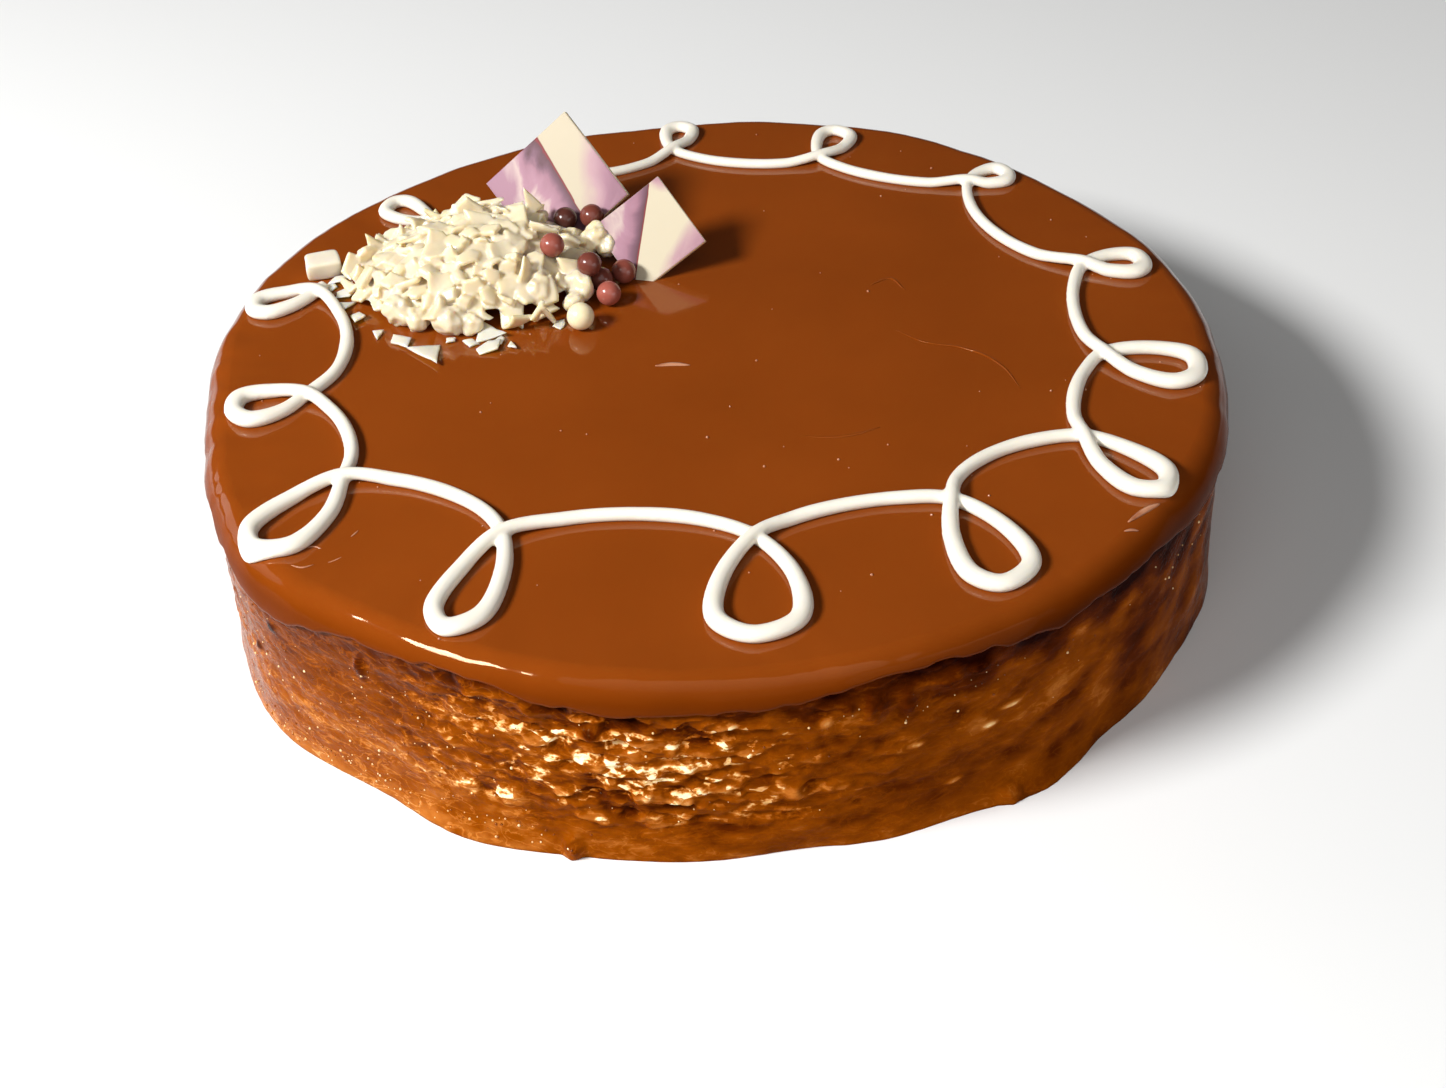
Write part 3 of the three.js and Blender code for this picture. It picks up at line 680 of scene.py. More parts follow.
def facets_of(tree, scale, stretch):
    """Angular cells in object space, each with a colour of its own."""
    space = space_of(tree, stretch)
    wobble = node(tree, "ShaderNodeTexNoise", Vector=space, Scale=scale, Detail=3.0).outputs["Color"]
    reach = [FACET_WOBBLE / scale] * 3
    shaken_space = maths(tree, "ShaderNodeVectorMath", "MULTIPLY_ADD", wobble, reach, space)
    return node(tree, "ShaderNodeTexVoronoi", Vector=shaken_space, Scale=scale).outputs["Color"]


def stored_of(tree, name):
    """Number kept for each point."""
    return node(tree, "ShaderNodeAttribute", attribute_name=name).outputs["Fac"]


def plus_product(tree, value, first, second):
    """Value plus the product of two others."""
    return maths(tree, "ShaderNodeMath", "MULTIPLY_ADD", first, second, value)


def shifted_by(tree, value, shift, amount):
    """Value moved up and down by a factor that runs from 0 to 1."""
    scaled = plus_product(tree, -amount / 2, shift, amount)
    return maths(tree, "ShaderNodeMath", "ADD", value, scaled)


def peak_of(tree, value, middle, half_width):
    """One where the value is near the middle, and nothing away from it."""
    black = (0, 0, 0)
    white = (1, 1, 1)
    stops = [(middle - half_width, black), (middle, white), (middle + half_width, black)]
    return ramp_of(tree, value, stops)


def ranged(tree, value, old, new):
    """Value carried from one range to another."""
    limits = dict(zip(("From Min", "From Max", "To Min", "To Max"), (*old, *new)))
    return node(tree, "ShaderNodeMapRange", Value=value, **limits).outputs["Result"]


def ramp_of(tree, factor, stops):
    """Colour ramp with (place, colour) stops."""
    ramp = node(tree, "ShaderNodeValToRGB", Fac=factor)
    elements = ramp.color_ramp.elements
    while len(elements) < len(stops):
        elements.new(0.5)
    for element, (place, colour) in zip(elements, stops):
        element.position = place
        element.color = (*colour, 1)
    return ramp.outputs["Color"]


def food_material(name, **settings):
    """Food with the values that all share."""
    return new_material(name, ior=FOOD_IOR, **settings)


def colour_by(tree, shader, factor, stops):
    """Colours the surface by a factor from 0 to 1."""
    tree.links.new(ramp_of(tree, factor, stops), shader.inputs["Base Color"])


def roughen(tree, shader, noise, strength, depth):
    """Fine relief from a noise, with its depth in millimetres."""
    bump = node(tree, "ShaderNodeBump", Height=noise, Strength=strength, Distance=depth * MM)
    tree.links.new(bump.outputs["Normal"], shader.inputs["Normal"])


def mottled_material(name, mottle, stops, grain, **settings):
    """Food that runs between two colours by one noise and has a fine grain by another.

    The mottle is the scale and detail of its noise, and the grain has a strength and a depth too.
    """
    material, tree, shader = food_material(name, **settings)
    colour_by(tree, shader, noise_of(tree, *mottle), stops)
    scale, detail, strength, depth = grain
    roughen(tree, shader, noise_of(tree, scale, detail), strength, depth)
    return material


def glaze_material():
    """Caramel that mirrors most on the flat top, with painted shade where it hangs."""
    look = softness(0.15, 0.5, 4, 1.5, 0.5)
    tint = (1.0, 0.7, 0.42, 1)
    material, tree, shader = food_material("caramel_glaze", roughness=0.07, specular_tint=tint, **look)
    height = node(tree, "ShaderNodeSeparateXYZ", Vector=space_of(tree)).outputs["Z"]
    mirror = ranged(tree, height, MIRROR_HEIGHTS, (0.03, 0.6))
    tree.links.new(mirror, shader.inputs["Specular IOR Level"])
    tone = shifted_by(tree, stored_of(tree, "tone"), noise_of(tree, 22), 0.3)
    stops = [(0.0, (0.045, 0.007, 0.001)), (0.5, (0.125, 0.022, 0.001)), (1.0, (0.245, 0.050, 0.0042))]
    colour_by(tree, shader, tone, stops)
    roughen(tree, shader, noise_of(tree, 420), 0.05, 0.2)
    return material


def sponge_material():
    """Wet brown crumb with pale gold glints painted on its plates, and fine painted highlight streaks,
    most at the left.
    """
    look = softness(0.2, 0.5, 4, 1.5, 0.4)
    tint = (1.0, 0.55, 0.15, 1)
    material, tree, shader = food_material("soaked_sponge", roughness=0.13, specular_tint=tint, **look)
    shine = stored_of(tree, "shine")
    tree.links.new(ranged(tree, shine, (0, 1), (0.006, 0.045)), shader.inputs["Specular IOR Level"])
    # Painted glints: pale gold crackle over angular cells where the stored glint is high
    crackle = ranged(tree, noise_of(tree, 520, 8.0, (1, 1, 1.6)), (0.42, 0.58), (0.1, 1))
    glinting = ranged(tree, facets_of(tree, 270, (1, 1, 1.9)), (0.43, 0.55), (0.1, 0.6))
    gold = maths(tree, "ShaderNodeMath", "MULTIPLY", crackle, glinting)
    tone = plus_product(tree, stored_of(tree, "tone"), gold, stored_of(tree, "glint"))
    grain = ranged(tree, noise_of(tree, 160, 6.0, (1, 1, 2)), (0, 1), (-0.3, 0.3))
    tone = plus_product(tree, tone, grain, ranged(tree, stored_of(tree, "crumb"), (0, 1), (0.55, 1)))
    # Painted highlight streaks, strongest where the side is shiny
    highlight_streaks = peak_of(tree, noise_of(tree, 150, 6.0, (1, 1, 2.4), 0.8), 0.5, 0.03)
    tone = plus_product(tree, tone, highlight_streaks, ranged(tree, shine, (0, 1), (0.06, 0.16)))
    colour_by(tree, shader, tone, CARAMEL_STOPS)
    roughen(tree, shader, noise_of(tree, 600, 3.0, (1, 1, 1.6)), 0.3, 0.9)
    return material


def bead_material():
    """Glossy beads in the colours of the crumb, some pale gold as painted sparkles."""
    tint = (1.0, 0.85, 0.65, 1)
    material, tree, shader = food_material("caramel_beads", roughness=0.08, specular_tint=tint)
    tone = shifted_by(tree, stored_of(tree, "tone"), noise_of(tree, 300, 2.0), 0.2)
    colour_by(tree, shader, tone, CARAMEL_STOPS)
    roughen(tree, shader, noise_of(tree, 900, 2.0), 0.05, 0.2)
    return material


def mark_material():
    """Pale caramel of bubbles, partly from their air and partly as painted glints, and of painted
    glint strokes.
    """
    stops = [(0.35, (0.34, 0.115, 0.050)), (0.65, (0.52, 0.240, 0.135))]
    look = {"roughness": 0.15, **softness(0.2, 0.5, 1, 0.6, 0.3)}
    return mottled_material("pale_bubbles_and_painted_glints", (260, 3.0), stops, (700, 2.0, 0.05, 0.2), **look)


def icing_material():
    """White icing with a faint warm tinge."""
    stops = [(0.3, (0.77, 0.72, 0.62)), (0.7, (0.82, 0.78, 0.68))]
    look = {"roughness": 0.3, **softness(0.3, 0.5, 2, 1.6, 1)}
    return mottled_material("white_icing", (90, 2.0), stops, (500, 2.0, 0.06, 0.2), **look)


def shavings_material(name, deep, pale):
    """Soft white chocolate that runs from a deeper to a paler colour."""
    stops = [(0.3, deep), (0.65, pale)]
    look = {"roughness": 0.32, "specular_ior_level": 0.8, **softness(0.85, 0.8, 3.2, 2.6, 1.2)}
    return mottled_material(name, (130, 3.0), stops, (700, 3.0, 0.06, 0.3), **look)


def white_material():
    """White chocolate of the pearl and of the squares' backs."""
    stops = [(0.3, (0.82, 0.69, 0.43)), (0.7, (0.88, 0.78, 0.56))]
    look = {"roughness": 0.25, **softness(0.3, 0.5, 2, 1.5, 0.8)}
    return mottled_material("white_chocolate", (120, 2.0), stops, (500, 2.0, 0.06, 0.2), **look)


def milk_material():
    """Milk chocolate that is lighter on some pearls than on others."""
    material, tree, shader = food_material("milk_chocolate", roughness=0.2)
    tint = shifted_by(tree, stored_of(tree, "tint"), noise_of(tree, 300, 2.0), 0.12)
    stops = [(0.0, (0.050, 0.017, 0.013)), (0.5, (0.170, 0.042, 0.028)), (1.0, (0.360, 0.095, 0.068))]
    colour_by(tree, shader, tint, stops)
    roughen(tree, shader, noise_of(tree, 700, 2.0), 0.06, 0.2)
    return material


def marbled_material(name, cream):
    """Mauve that darkens up to a crimson edge, then cream that fades to mauve again."""
    look = softness(0.1, 0.3, 2, 1.5, 1)
    material, tree, shader = food_material(name, roughness=0.4, specular_ior_level=0.08, **look)
    streaks = ranged(tree, noise_of(tree, 110, 5.0, (1, 1, 0.6), 0.9), (0.3, 0.7), (-0.13, 0.13))
    swirl = plus_product(tree, stored_of(tree, "band"), streaks, stored_of(tree, "swirl"))
    mauve = (0.31, 0.16, 0.205)
    stops = [
        (0.0, (0.33, 0.18, 0.23)), (0.13, (0.50, 0.38, 0.35)), (0.2, (0.37, 0.20, 0.25)),
        (0.32, mauve), (0.41, (0.17, 0.085, 0.115)), (0.475, (0.11, 0.05, 0.06)),
        (0.487, (0.22, 0.03, 0.035)), (0.496, (0.16, 0.02, 0.02)), (0.504, cream), (0.6, cream),
        (0.78, (0.42, 0.26, 0.28)), (0.92, mauve), (1.0, (0.26, 0.13, 0.17)),
    ]
    colour_by(tree, shader, swirl, stops)
    roughen(tree, shader, noise_of(tree, 300, 2.0), 0.05, 0.2)
    return material


# Cake body
def plates(angle, z, size, seed):
    """Facets of uneven tilt on the side: their relief in metres and how far they face up.

    The size is the number of facets round the cake and the height of one.
    """
    count, height = size
    width = 2 * math.pi * CAKE_RADIUS / count
    rng = np.random.default_rng(seed)
    shift_across, shift_up = rng.uniform(-PLATE_SHIFT, PLATE_SHIFT, (2, TABLE_SIZE))
    lean_up, lean_aside = rng.uniform(*PLATE_LEANS, (TABLE_SIZE, 2)).T
    level = rng.uniform(-PLATE_LEVEL, PLATE_LEVEL, TABLE_SIZE)
    column = np.floor(angle / 360 * count).astype(np.int64)
    row = np.floor(z / height).astype(np.int64)
    stride_across, stride_up = PLATE_STRIDES
    total = np.zeros((3, len(z)))
    for step_across in (-1, 0, 1):
        for step_up in (-1, 0, 1):
            key = (column + step_across) % count * stride_across + (row + step_up) * stride_up
            key %= TABLE_SIZE
            across = angle / 360 * count - (column + step_across + 0.5 + shift_across[key])
            up = z / height - (row + step_up + 0.5 + shift_up[key])
            weight = np.exp(-PLATE_SHARPNESS * (across**2 + up**2))
            rise = (level[key] - lean_up[key] * up) * height + lean_aside[key] * across * width / 3
            total += weight * np.array([np.ones(len(z)), rise, lean_up[key]])
    return total[1] / total[0], total[2] / total[0]


def patchy(noise, middle, reach, least, most):
    return np.clip(middle + reach * noise, least, most)


def smear_noise(angle, z):
    """Long smears that run uphill to the right."""
    arc = np.radians((angle + 180) % 360 - 180) * CAKE_RADIUS
    along = arc * math.cos(SMEAR_RADIANS) + z * math.sin(SMEAR_RADIANS)
    beside = z * math.cos(SMEAR_RADIANS) - arc * math.sin(SMEAR_RADIANS)
    return lattice_noise(np.column_stack([along, beside, 0 * z]), SMEAR_CELL, SEED + 6)


def side_relief(points, angle):
    """Broad swell, fine relief, painted glint and smears of the side."""
    z = points[:, 2]

    def noise(across, up, seed):
        return lattice_noise(points, (across * MM, across * MM, up * MM), SEED + seed)

    middle = np.clip((z - CALM_HEIGHT) / CALM_FADE, 0, 1)
    smeared = bell(angle, *SMEARED)
    wet = np.maximum(smeared, bell(angle, *SHINY))
    front = bell(angle, *CRUMBLY) * patchy(noise(*FRONT_PATCHES), *FRONT_ROUGHNESS)
    elsewhere = patchy(noise(*FAR_PATCHES), *FAR_ROUGHNESS) * (1 - WET_CALM * wet)
    rough = middle * np.maximum(front, elsewhere)
    large, large_up = plates(angle, z, LARGE_PLATES, SEED + 3)
    small, small_up = plates(angle, z, SMALL_PLATES, SEED + 4)
    smears = mixed(SMEAR_MIX, smear_noise(angle, z), noise(*SMEAR_LUMPS))
    broad = BROAD_RELIEF * noise(*BROAD_LUMPS)
    fine = rough * mixed(PLATE_MIX, large, small) + SMEAR_RELIEF * smeared * middle * smears
    fine += mixed(FINE_MIX, noise(*FINE_LUMPS), noise(*FINEST_LUMPS)) * MM
    streaks = mixed(STREAK_MIX, noise(*LONG_STREAKS), noise(*SHORT_STREAKS))
    upward = mixed(UPWARD_MIX, large_up, small_up, streaks)
    low, high = GLINTING_HEIGHTS
    inside = np.clip(np.minimum(z - low, high - z) / GLINTING_FADE, 0, 1)
    glinting = np.sqrt(bell(angle, *GLINTING)) * inside
    gold_glint = glinting * np.clip(GOLD_GROWTH * upward - GOLD_START, 0, 1)
    crumb_glint = CRUMB_GROWTH * rough * np.clip(upward - CRUMB_START, 0, 1)
    return broad, fine, np.maximum(gold_glint, crumb_glint), smeared * smears


def side_knobs(points, angle):
    """Rise and change of tone by the knobs, painted glints among them."""
    uneven = 1 + KNOB_UNEVENNESS * lattice_noise(points, 1.4 * MM, SEED + 9)
    rise = np.zeros(len(points))
    tone = np.zeros(len(points))
    for middle, z, half_width, half_height, height, change in SIDE_KNOBS:
        across = np.radians((angle - middle + 540) % 360 - 180) * CAKE_RADIUS / (half_width * MM)
        up = (points[:, 2] - z * MM) / (half_height * MM)
        swell = np.exp(-((across**2 + up**2) ** KNOB_STEEPNESS))
        rise += height * MM * swell * uneven
        tone += change * swell
    return rise, tone


def side_tone(points, angle, fine, smears):
    """How light the crumb is, from 0 to 1, with painted shade in hollows, under the lip and at the
    sides.
    """
    z = points[:, 2]
    foot = np.clip(1 - z / FOOT_HEIGHT, 0, 1)
    ragged = 1 + LIP_SHADE_UNEVENNESS * lattice_noise(points, 6 * MM, SEED + 17)
    under_lip = np.clip(1 - (ledge_level(angle) - z) / (LIP_SHADE_HEIGHT * ragged), 0, 1)
    right = bell(angle, *RIGHT_SIDE)
    left = bell(angle, *LEFT_SIDE)
    away = (z - np.interp(angle, BAND_ANGLES, BAND_LEVELS)) / BAND_HALF_HEIGHT
    band = left * np.exp(-(away**2))
    # Painted light and shade: paler on raised crumb, deeper in its hollows
    tone = CRUMB_TONE + RELIEF_PAINTED_SHADE * fine / RELIEF_DEPTH + SMEAR_TONE * smears
    tone += foot * (FOOT_TONE + LEFT_FOOT_PAINTED_GLOW * left)
    tone -= LEFT_SHADE * left
    tone += BAND_TONE * band
    return tone - under_lip * (LIP_SHADE + RIGHT_LIP_SHADE * right) - RIGHT_SHADE * right


def ledge_level(angle):
    """Height up to which the side reaches, inside the lip."""
    return lip_level(angle) + SIDE_OVERLAP


def side_surface(angles, z):
    """Points of the side, with their tone, which holds painted shade, and their painted glint."""
    out = directions(angles)
    foot = np.clip(1 - z / FOOT_HEIGHT, 0, 1) ** 2 * (FOOT_FLARE + swell_at(FOOT_SWELLS, angles))
    points = np.column_stack([out * (outline_radius(angles) - SIDE_SETBACK + foot)[:, None], z])
    broad, fine, glint, smears = side_relief(points, angles)
    rise, darker = side_knobs(points, angles)
    tone = side_tone(points, angles, fine, smears) + darker
    points[:, :2] += out * (broad + fine + rise)[:, None]
    return points, tone, glint


def sponge_piece(material):
    """Side with its relief, and the top that the glaze lies on."""
    start, stop = FINE_SPAN
    fine_angles = np.linspace(start, stop, FINE_COLUMNS, endpoint=False)
    coarse_angles = np.linspace(stop, start + 360, COARSE_COLUMNS, endpoint=False)
    angles = np.concatenate([fine_angles, coarse_angles]) % 360
    count = len(angles)
    ledge = ledge_level(angles)
    rings = []
    tones = []
    glints = []
    for row in range(SIDE_ROWS + 1):
        points, tone, glint = side_surface(angles, ledge * row / SIDE_ROWS)
        rings.append(points)
        tones.append(tone)
        glints.append(glint)
    inside = CAP_FLOOR - CAP_GAP
    inner = directions(angles) * (outline_radius(angles) - CAP_WALL - CAP_GAP)[:, None]
    for z in (ledge, np.full(count, inside)):
        rings.append(np.column_stack([inner, z]))
        tones.append(np.full(count, LEDGE_TONE))
        glints.append(np.zeros(count))
    piece = mesh_piece("sponge_side", *capped(rings, (0, 0, 0), (0, 0, inside)), material)
    store(piece, "tone", np.concatenate([*tones, [LEDGE_TONE, LEDGE_TONE]]))
    store(piece, "glint", np.concatenate([*glints, [0, 0]]))
    for name, span in (("shine", SHINY), ("crumb", CRUMBLY)):
        store(piece, name, np.concatenate([np.tile(bell(angles, *span), len(rings)), [0, 0]]))
    return piece


def beads_piece(material):
    """Small beads of caramel on the side, some painted pale gold as sparkles."""
    rng = np.random.default_rng(SEED + 2)
    parts = []
    tones = []
    for count, span, heights in BEAD_PATCHES:
        angles = rng.uniform(*span, count) % 360
        points, tone = side_surface(angles, rng.uniform(*heights, count) * MM)[:2]
        radii = between(rng.uniform(0, 1, count) ** 2, BEAD_RADII)
        parts.extend(ball_part(radius, place, BEAD_ROUNDNESS) for place, radius in zip(points, radii))
        tones.append(np.where(rng.uniform(0, 1, count) < PAINTED_SPARKLE_SHARE, PAINTED_SPARKLE_TONE, tone))
    piece = mesh_piece("caramel_beads", *joined(parts), material)
    store(piece, "tone", np.repeat(np.concatenate(tones), len(parts[0][0])))
    return piece


def ripple(ring, angles):
    """Adds waves, dimples and an uneven rim to one ring of the glaze."""

    def noise(cell, seed):
        return lattice_noise(ring, cell * MM, SEED + seed)

    edge = np.clip((np.hypot(ring[:, 0], ring[:, 1]) - DIMPLE_START) / DIMPLE_FADE, 0, 1)
    dimpled = between(bell(angles, *DIMPLED), (CALM_DIMPLES, 1))
    wave = mixed(WAVE_MIX, noise(26, 10), noise(9, 11))
    dimples = mixed(DIMPLE_MIX, noise(6, 12), noise(3, 13))
    ring[:, 2] += (wave + DIMPLE_DEPTH * edge * dimpled * dimples) * MM
    ring[:, :2] += directions(angles) * (RIM_WOBBLE * edge * noise(9, 16) * MM)[:, None]


def glaze_piece(material):
    """Cap with rings from its underside, round the lip and up the outside to the middle."""
    angles = np.arange(GLAZE_AROUND) * 360 / GLAZE_AROUND
    out = directions(angles)
    outline = outline_radius(angles)
    rim = np.column_stack([out * CAKE_RADIUS, np.zeros(GLAZE_AROUND)])
    ragged = lattice_noise(rim, 8 * MM, SEED + 14) + 0.5 * lattice_noise(rim, 3 * MM, SEED + 15)
    lip = lip_level(angles) + LIP_RAGGEDNESS * ragged
    slack = math.cos(BEND_RADIANS) - (CAKE_HEIGHT - lip - LIP_CURL - BEND_DROP) / DRAPE_RADIUS
    lip_slope = np.arccos(np.clip(slack, 0, 1))
    rings = []

    def add_ring(radius, z):
        rings.append(np.column_stack([out * np.broadcast_to(radius, GLAZE_AROUND)[:, None],
                                      np.broadcast_to(z, GLAZE_AROUND)]))

    def add_outside(slope):
        run, drop = drape_at(slope)
        add_ring(outline - FULL_RUN + run, CAKE_HEIGHT - drop)

    add_ring(outline - CAP_WALL, CAP_FLOOR)
    add_ring(outline - CAP_WALL, lip)
    lip_run, lip_drop = drape_at(lip_slope)
    for step in range(LIP_STEPS, 0, -1):
        turn = math.pi / 2 * step / LIP_STEPS
        radius = outline - FULL_RUN + lip_run - LIP_CURL * (1 - math.cos(turn))
        add_ring(radius, CAKE_HEIGHT - lip_drop - LIP_CURL * math.sin(turn))
    for step in range(DRAPE_STEPS, 0, -1):
        add_outside(between(step / DRAPE_STEPS, (BEND_RADIANS, lip_slope)))
    for step in range(BEND_STEPS, -1, -1):
        add_outside(BEND_RADIANS * step / BEND_STEPS)
    for ring in range(TOP_RINGS - 1, 0, -1):
        add_ring((outline - FULL_RUN) * ring / TOP_RINGS, CAKE_HEIGHT)
    for ring in rings[2:]:
        ripple(ring, angles)
    piece = mesh_piece("glaze", *capped(rings, (0, 0, CAP_FLOOR), (0, 0, CAKE_HEIGHT)), material)
    # Painted shade where the glaze hangs, more at the right
    sag = np.clip((CAKE_HEIGHT - np.array(rings)[:, :, 2]) / SAG_DEPTH, 0, 1)
    tones = GLAZE_TONE - sag * (SAG_PAINTED_SHADE + RIGHT_SAG_PAINTED_SHADE * bell(angles, *RIGHT_SAG))
    store(piece, "tone", np.concatenate([tones.ravel(), [GLAZE_TONE, GLAZE_TONE]]))
    return piece


def ball_part(radius, middle, roundness, bumps=0.0):
    """Ball with a number of rings and of points in each, or a lump where it has bumps."""
    rings, around = roundness
    rows = []
    turns = 2 * math.pi * np.arange(around) / around
    for ring in range(1, rings):
        fall = math.pi * ring / rings
        circle = np.column_stack([np.cos(turns), np.sin(turns)]) * math.sin(fall)
        rows.append(np.column_stack([circle, np.full(around, -math.cos(fall))]))
    points, faces = capped(rows, (0, 0, -1), (0, 0, 1))
    placed = points * radius + np.asarray(middle)
    if bumps:
        broad = lattice_noise(placed, BROAD_BUMP * radius, SEED + 40)
        narrow = lattice_noise(placed, NARROW_BUMP * radius, SEED + 41)
        placed += points * (bumps * radius * mixed(BUMP_MIX, broad, narrow))[:, None]
    return placed, faces


def in_heap(x, y, grow):
    """True over the heap's foot, or a little outside it."""
    across = (x - HEAP_MIDDLE[0]) / (HEAP_RADII[0] + grow)
    back = (y - HEAP_MIDDLE[1]) / (HEAP_RADII[1] + grow)
    return across * across + back * back < 1


def stroke_part(width, path):
    """Thin raised stroke along a path on the glaze."""
    centre = smooth_path(np.array(path) * MM, STROKE_STEPS)
    count = len(centre)
    aside = aside_of(centre)
    swell = np.sin(math.pi * (np.arange(count) + 0.5) / count) ** STROKE_TAPER
    rows = []
    for share, rise in STROKE_PROFILE:
        edge = centre + aside * (share * swell * width * MM / 2)[:, None]
        z = glaze_height(*edge.T) + STROKE_LIFT + rise * swell * STROKE_HEIGHT
        rows.append(np.column_stack([edge, z]))
    return skinned(rows)


def creases_piece(material):
    """Scratches that are as dark as the glaze."""
    parts = [stroke_part(*crease) for crease in CREASES]
    piece = mesh_piece("glaze_creases", *joined(parts), material)
    store(piece, "tone", np.full(len(piece.data.vertices), GLAZE_TONE))
    return piece


def marks_piece(material, path):
    """Painted glint strokes, and bubbles on the glaze and along the strand."""
    rng = np.random.default_rng(SEED + 3)
    parts = []
    while len(parts) < BUBBLE_COUNT:
        radius = between(rng.uniform() ** 2, BUBBLE_RADII)
        if rng.uniform() < BUBBLES_APART:
            away = (CAKE_RADIUS - BUBBLE_MARGIN) * math.sqrt(rng.uniform())
            place = away * directions([rng.uniform(0, 360)])[0]
        else:
            place = path[rng.integers(len(path)), :2] + rng.normal(0, BUBBLE_SCATTER, 2)
        if not in_heap(*place, HEAP_CLEARANCE):
            z = glaze_height(*place) + BUBBLE_LIFT * radius
            parts.append(ball_part(radius, (*place, z), BUBBLE_ROUNDNESS))
    parts.extend(stroke_part(*stroke) for stroke in PAINTED_GLINT_STROKES)
    return mesh_piece("pale_bubbles_and_painted_glints", *joined(parts), material)


# Piped strand
def strand_route():
    """Points of the strand, each with its width and its lift over an earlier crossing."""
    route = [(*polar(*STRAND_START), STRAND_WIDTH, 0.0)]
    side_width = (STRAND_WIDTH + TIP_WIDTH) / 2
    for index, loop in enumerate(LOOPS):
        crossing = polar(*loop[:2])
        tip = polar(*loop[2:4])
        leading, trailing, sag = loop[4:]
        along = tip - crossing
        aside = np.array([-along[1], along[0]]) / np.hypot(*along) * MM

        def flank(shares, bulge):
            return crossing + along * shares[0] + aside * bulge * shares[1]

        route.append((*crossing, STRAND_WIDTH, 0.0))
        route.append((*flank(LOW_FLANK, leading), side_width, 0.0))
        route.append((*flank(HIGH_FLANK, leading), TIP_WIDTH, 0.0))
        route.append((*tip, TIP_WIDTH, 0.0))
        route.append((*flank(HIGH_FLANK, -trailing), TIP_WIDTH, 0.0))
        route.append((*flank(LOW_FLANK, -trailing), side_width, 0.0))
        route.append((*crossing, STRAND_WIDTH, CROSSING_LIFT))
        if index + 1 < len(LOOPS):
            following = polar(*LOOPS[index + 1][:2])
            inward = -(crossing + following) / np.hypot(*(crossing + following)) * sag * MM
            for share, depth in ARC_PLACES:
                place = between(share, (crossing, following)) + inward * depth
                route.append((*place, STRAND_WIDTH, 0.0))
    route.append((*polar(*STRAND_END), STRAND_WIDTH, 0.0))
    return np.array(route)


def aside_of(centre):
    """Way to the left of a path, seen from above."""
    heading = np.gradient(centre, axis=0)
    heading /= np.hypot(heading[:, 0], heading[:, 1])[:, None]
    return np.column_stack([-heading[:, 1], heading[:, 0]])


def skinned(lines):
    """Closed body from lines of points that run side by side along it."""
    grid = np.array(lines).transpose(1, 0, 2)
    return capped(list(grid), grid[0].mean(axis=0), grid[-1].mean(axis=0))


def smooth_path(knots, steps):
    """Centripetal spline through knots, with rows for place and any values that go with it."""
    before = 2 * knots[0] - knots[1]
    after = 2 * knots[-1] - knots[-2]
    padded = np.vstack([before, knots, after])
    rows = []
    for start in range(len(knots) - 1):
        p0, p1, p2, p3 = padded[start:start + 4]
        t0, t1, t2 = [math.sqrt(np.hypot(*(b - a)[:2])) for a, b in ((p0, p1), (p1, p2), (p2, p3))]
        leave = ((p1 - p0) / t0 - (p2 - p0) / (t0 + t1) + (p2 - p1) / t1) * t1
        reach = ((p2 - p1) / t1 - (p3 - p1) / (t1 + t2) + (p3 - p2) / t2) * t1
        for step in range(steps):
            t = step / steps
            rows.append((2 * t**3 - 3 * t**2 + 1) * p1 + (t**3 - 2 * t**2 + t) * leave
                        + (3 * t**2 - 2 * t**3) * p2 + (t**3 - t**2) * reach)
    rows.append(knots[-1])
    return np.array(rows)


def fuse(piece, voxel, smoothing):
    """Melts a piece into one soft skin where it crosses itself."""
    remesh = piece.modifiers.new("fuse", "REMESH")
    remesh.mode = "VOXEL"
    remesh.voxel_size = voxel
    remesh.use_smooth_shade = True
    smooth = piece.modifiers.new("smooth", "SMOOTH")
    smooth.factor = 0.5
    smooth.iterations = smoothing
    material = piece.data.materials[0]
    graph = bpy.context.evaluated_depsgraph_get()
    mesh = bpy.data.meshes.new_from_object(piece.evaluated_get(graph))
    piece.modifiers.clear()
    piece.data = mesh
    mesh.materials.clear()
    mesh.materials.append(material)


def strand_piece(material, path):
    """Strand that lies on the glaze, with a top that dips less at the bend than the glaze does."""
    centre = path[:, :2]
    aside = aside_of(centre)
    lumps = lattice_noise(np.column_stack([centre, path[:, 3]]), 9 * MM, SEED + 20)
    uneven = 1 + STRAND_UNEVENNESS * lumps
    slim = 1 - BACK_SLIMNESS * np.clip(centre[:, 1] / CAKE_RADIUS, 0, 1)
    width = path[:, 2] * uneven * slim
    height = STRAND_HEIGHT * slim * np.sqrt(path[:, 2] * uneven / STRAND_WIDTH)
    lift = np.maximum(path[:, 3], 0) - STRAND_SINK
    sides = []
    for side in range(STRAND_SIDES):
        turn = 2 * math.pi * side / STRAND_SIDES
        level = max(0.5 + 0.5 * math.sin(turn), STRAND_FLATNESS)
        rise = (level - STRAND_FLATNESS) / (1 - STRAND_FLATNESS)
        points = centre + aside * (width * math.cos(turn) / 2)[:, None]
        under = glaze_height(*points.T)
        over = glaze_height(*(STRAND_STIFFNESS * points).T) + height
        sides.append(np.column_stack([points, between(rise, (under, over)) + lift]))
    piece = mesh_piece("piped_strand", *skinned(sides), material)
    fuse(piece, STRAND_VOXEL, STRAND_SMOOTHING)
    return piece


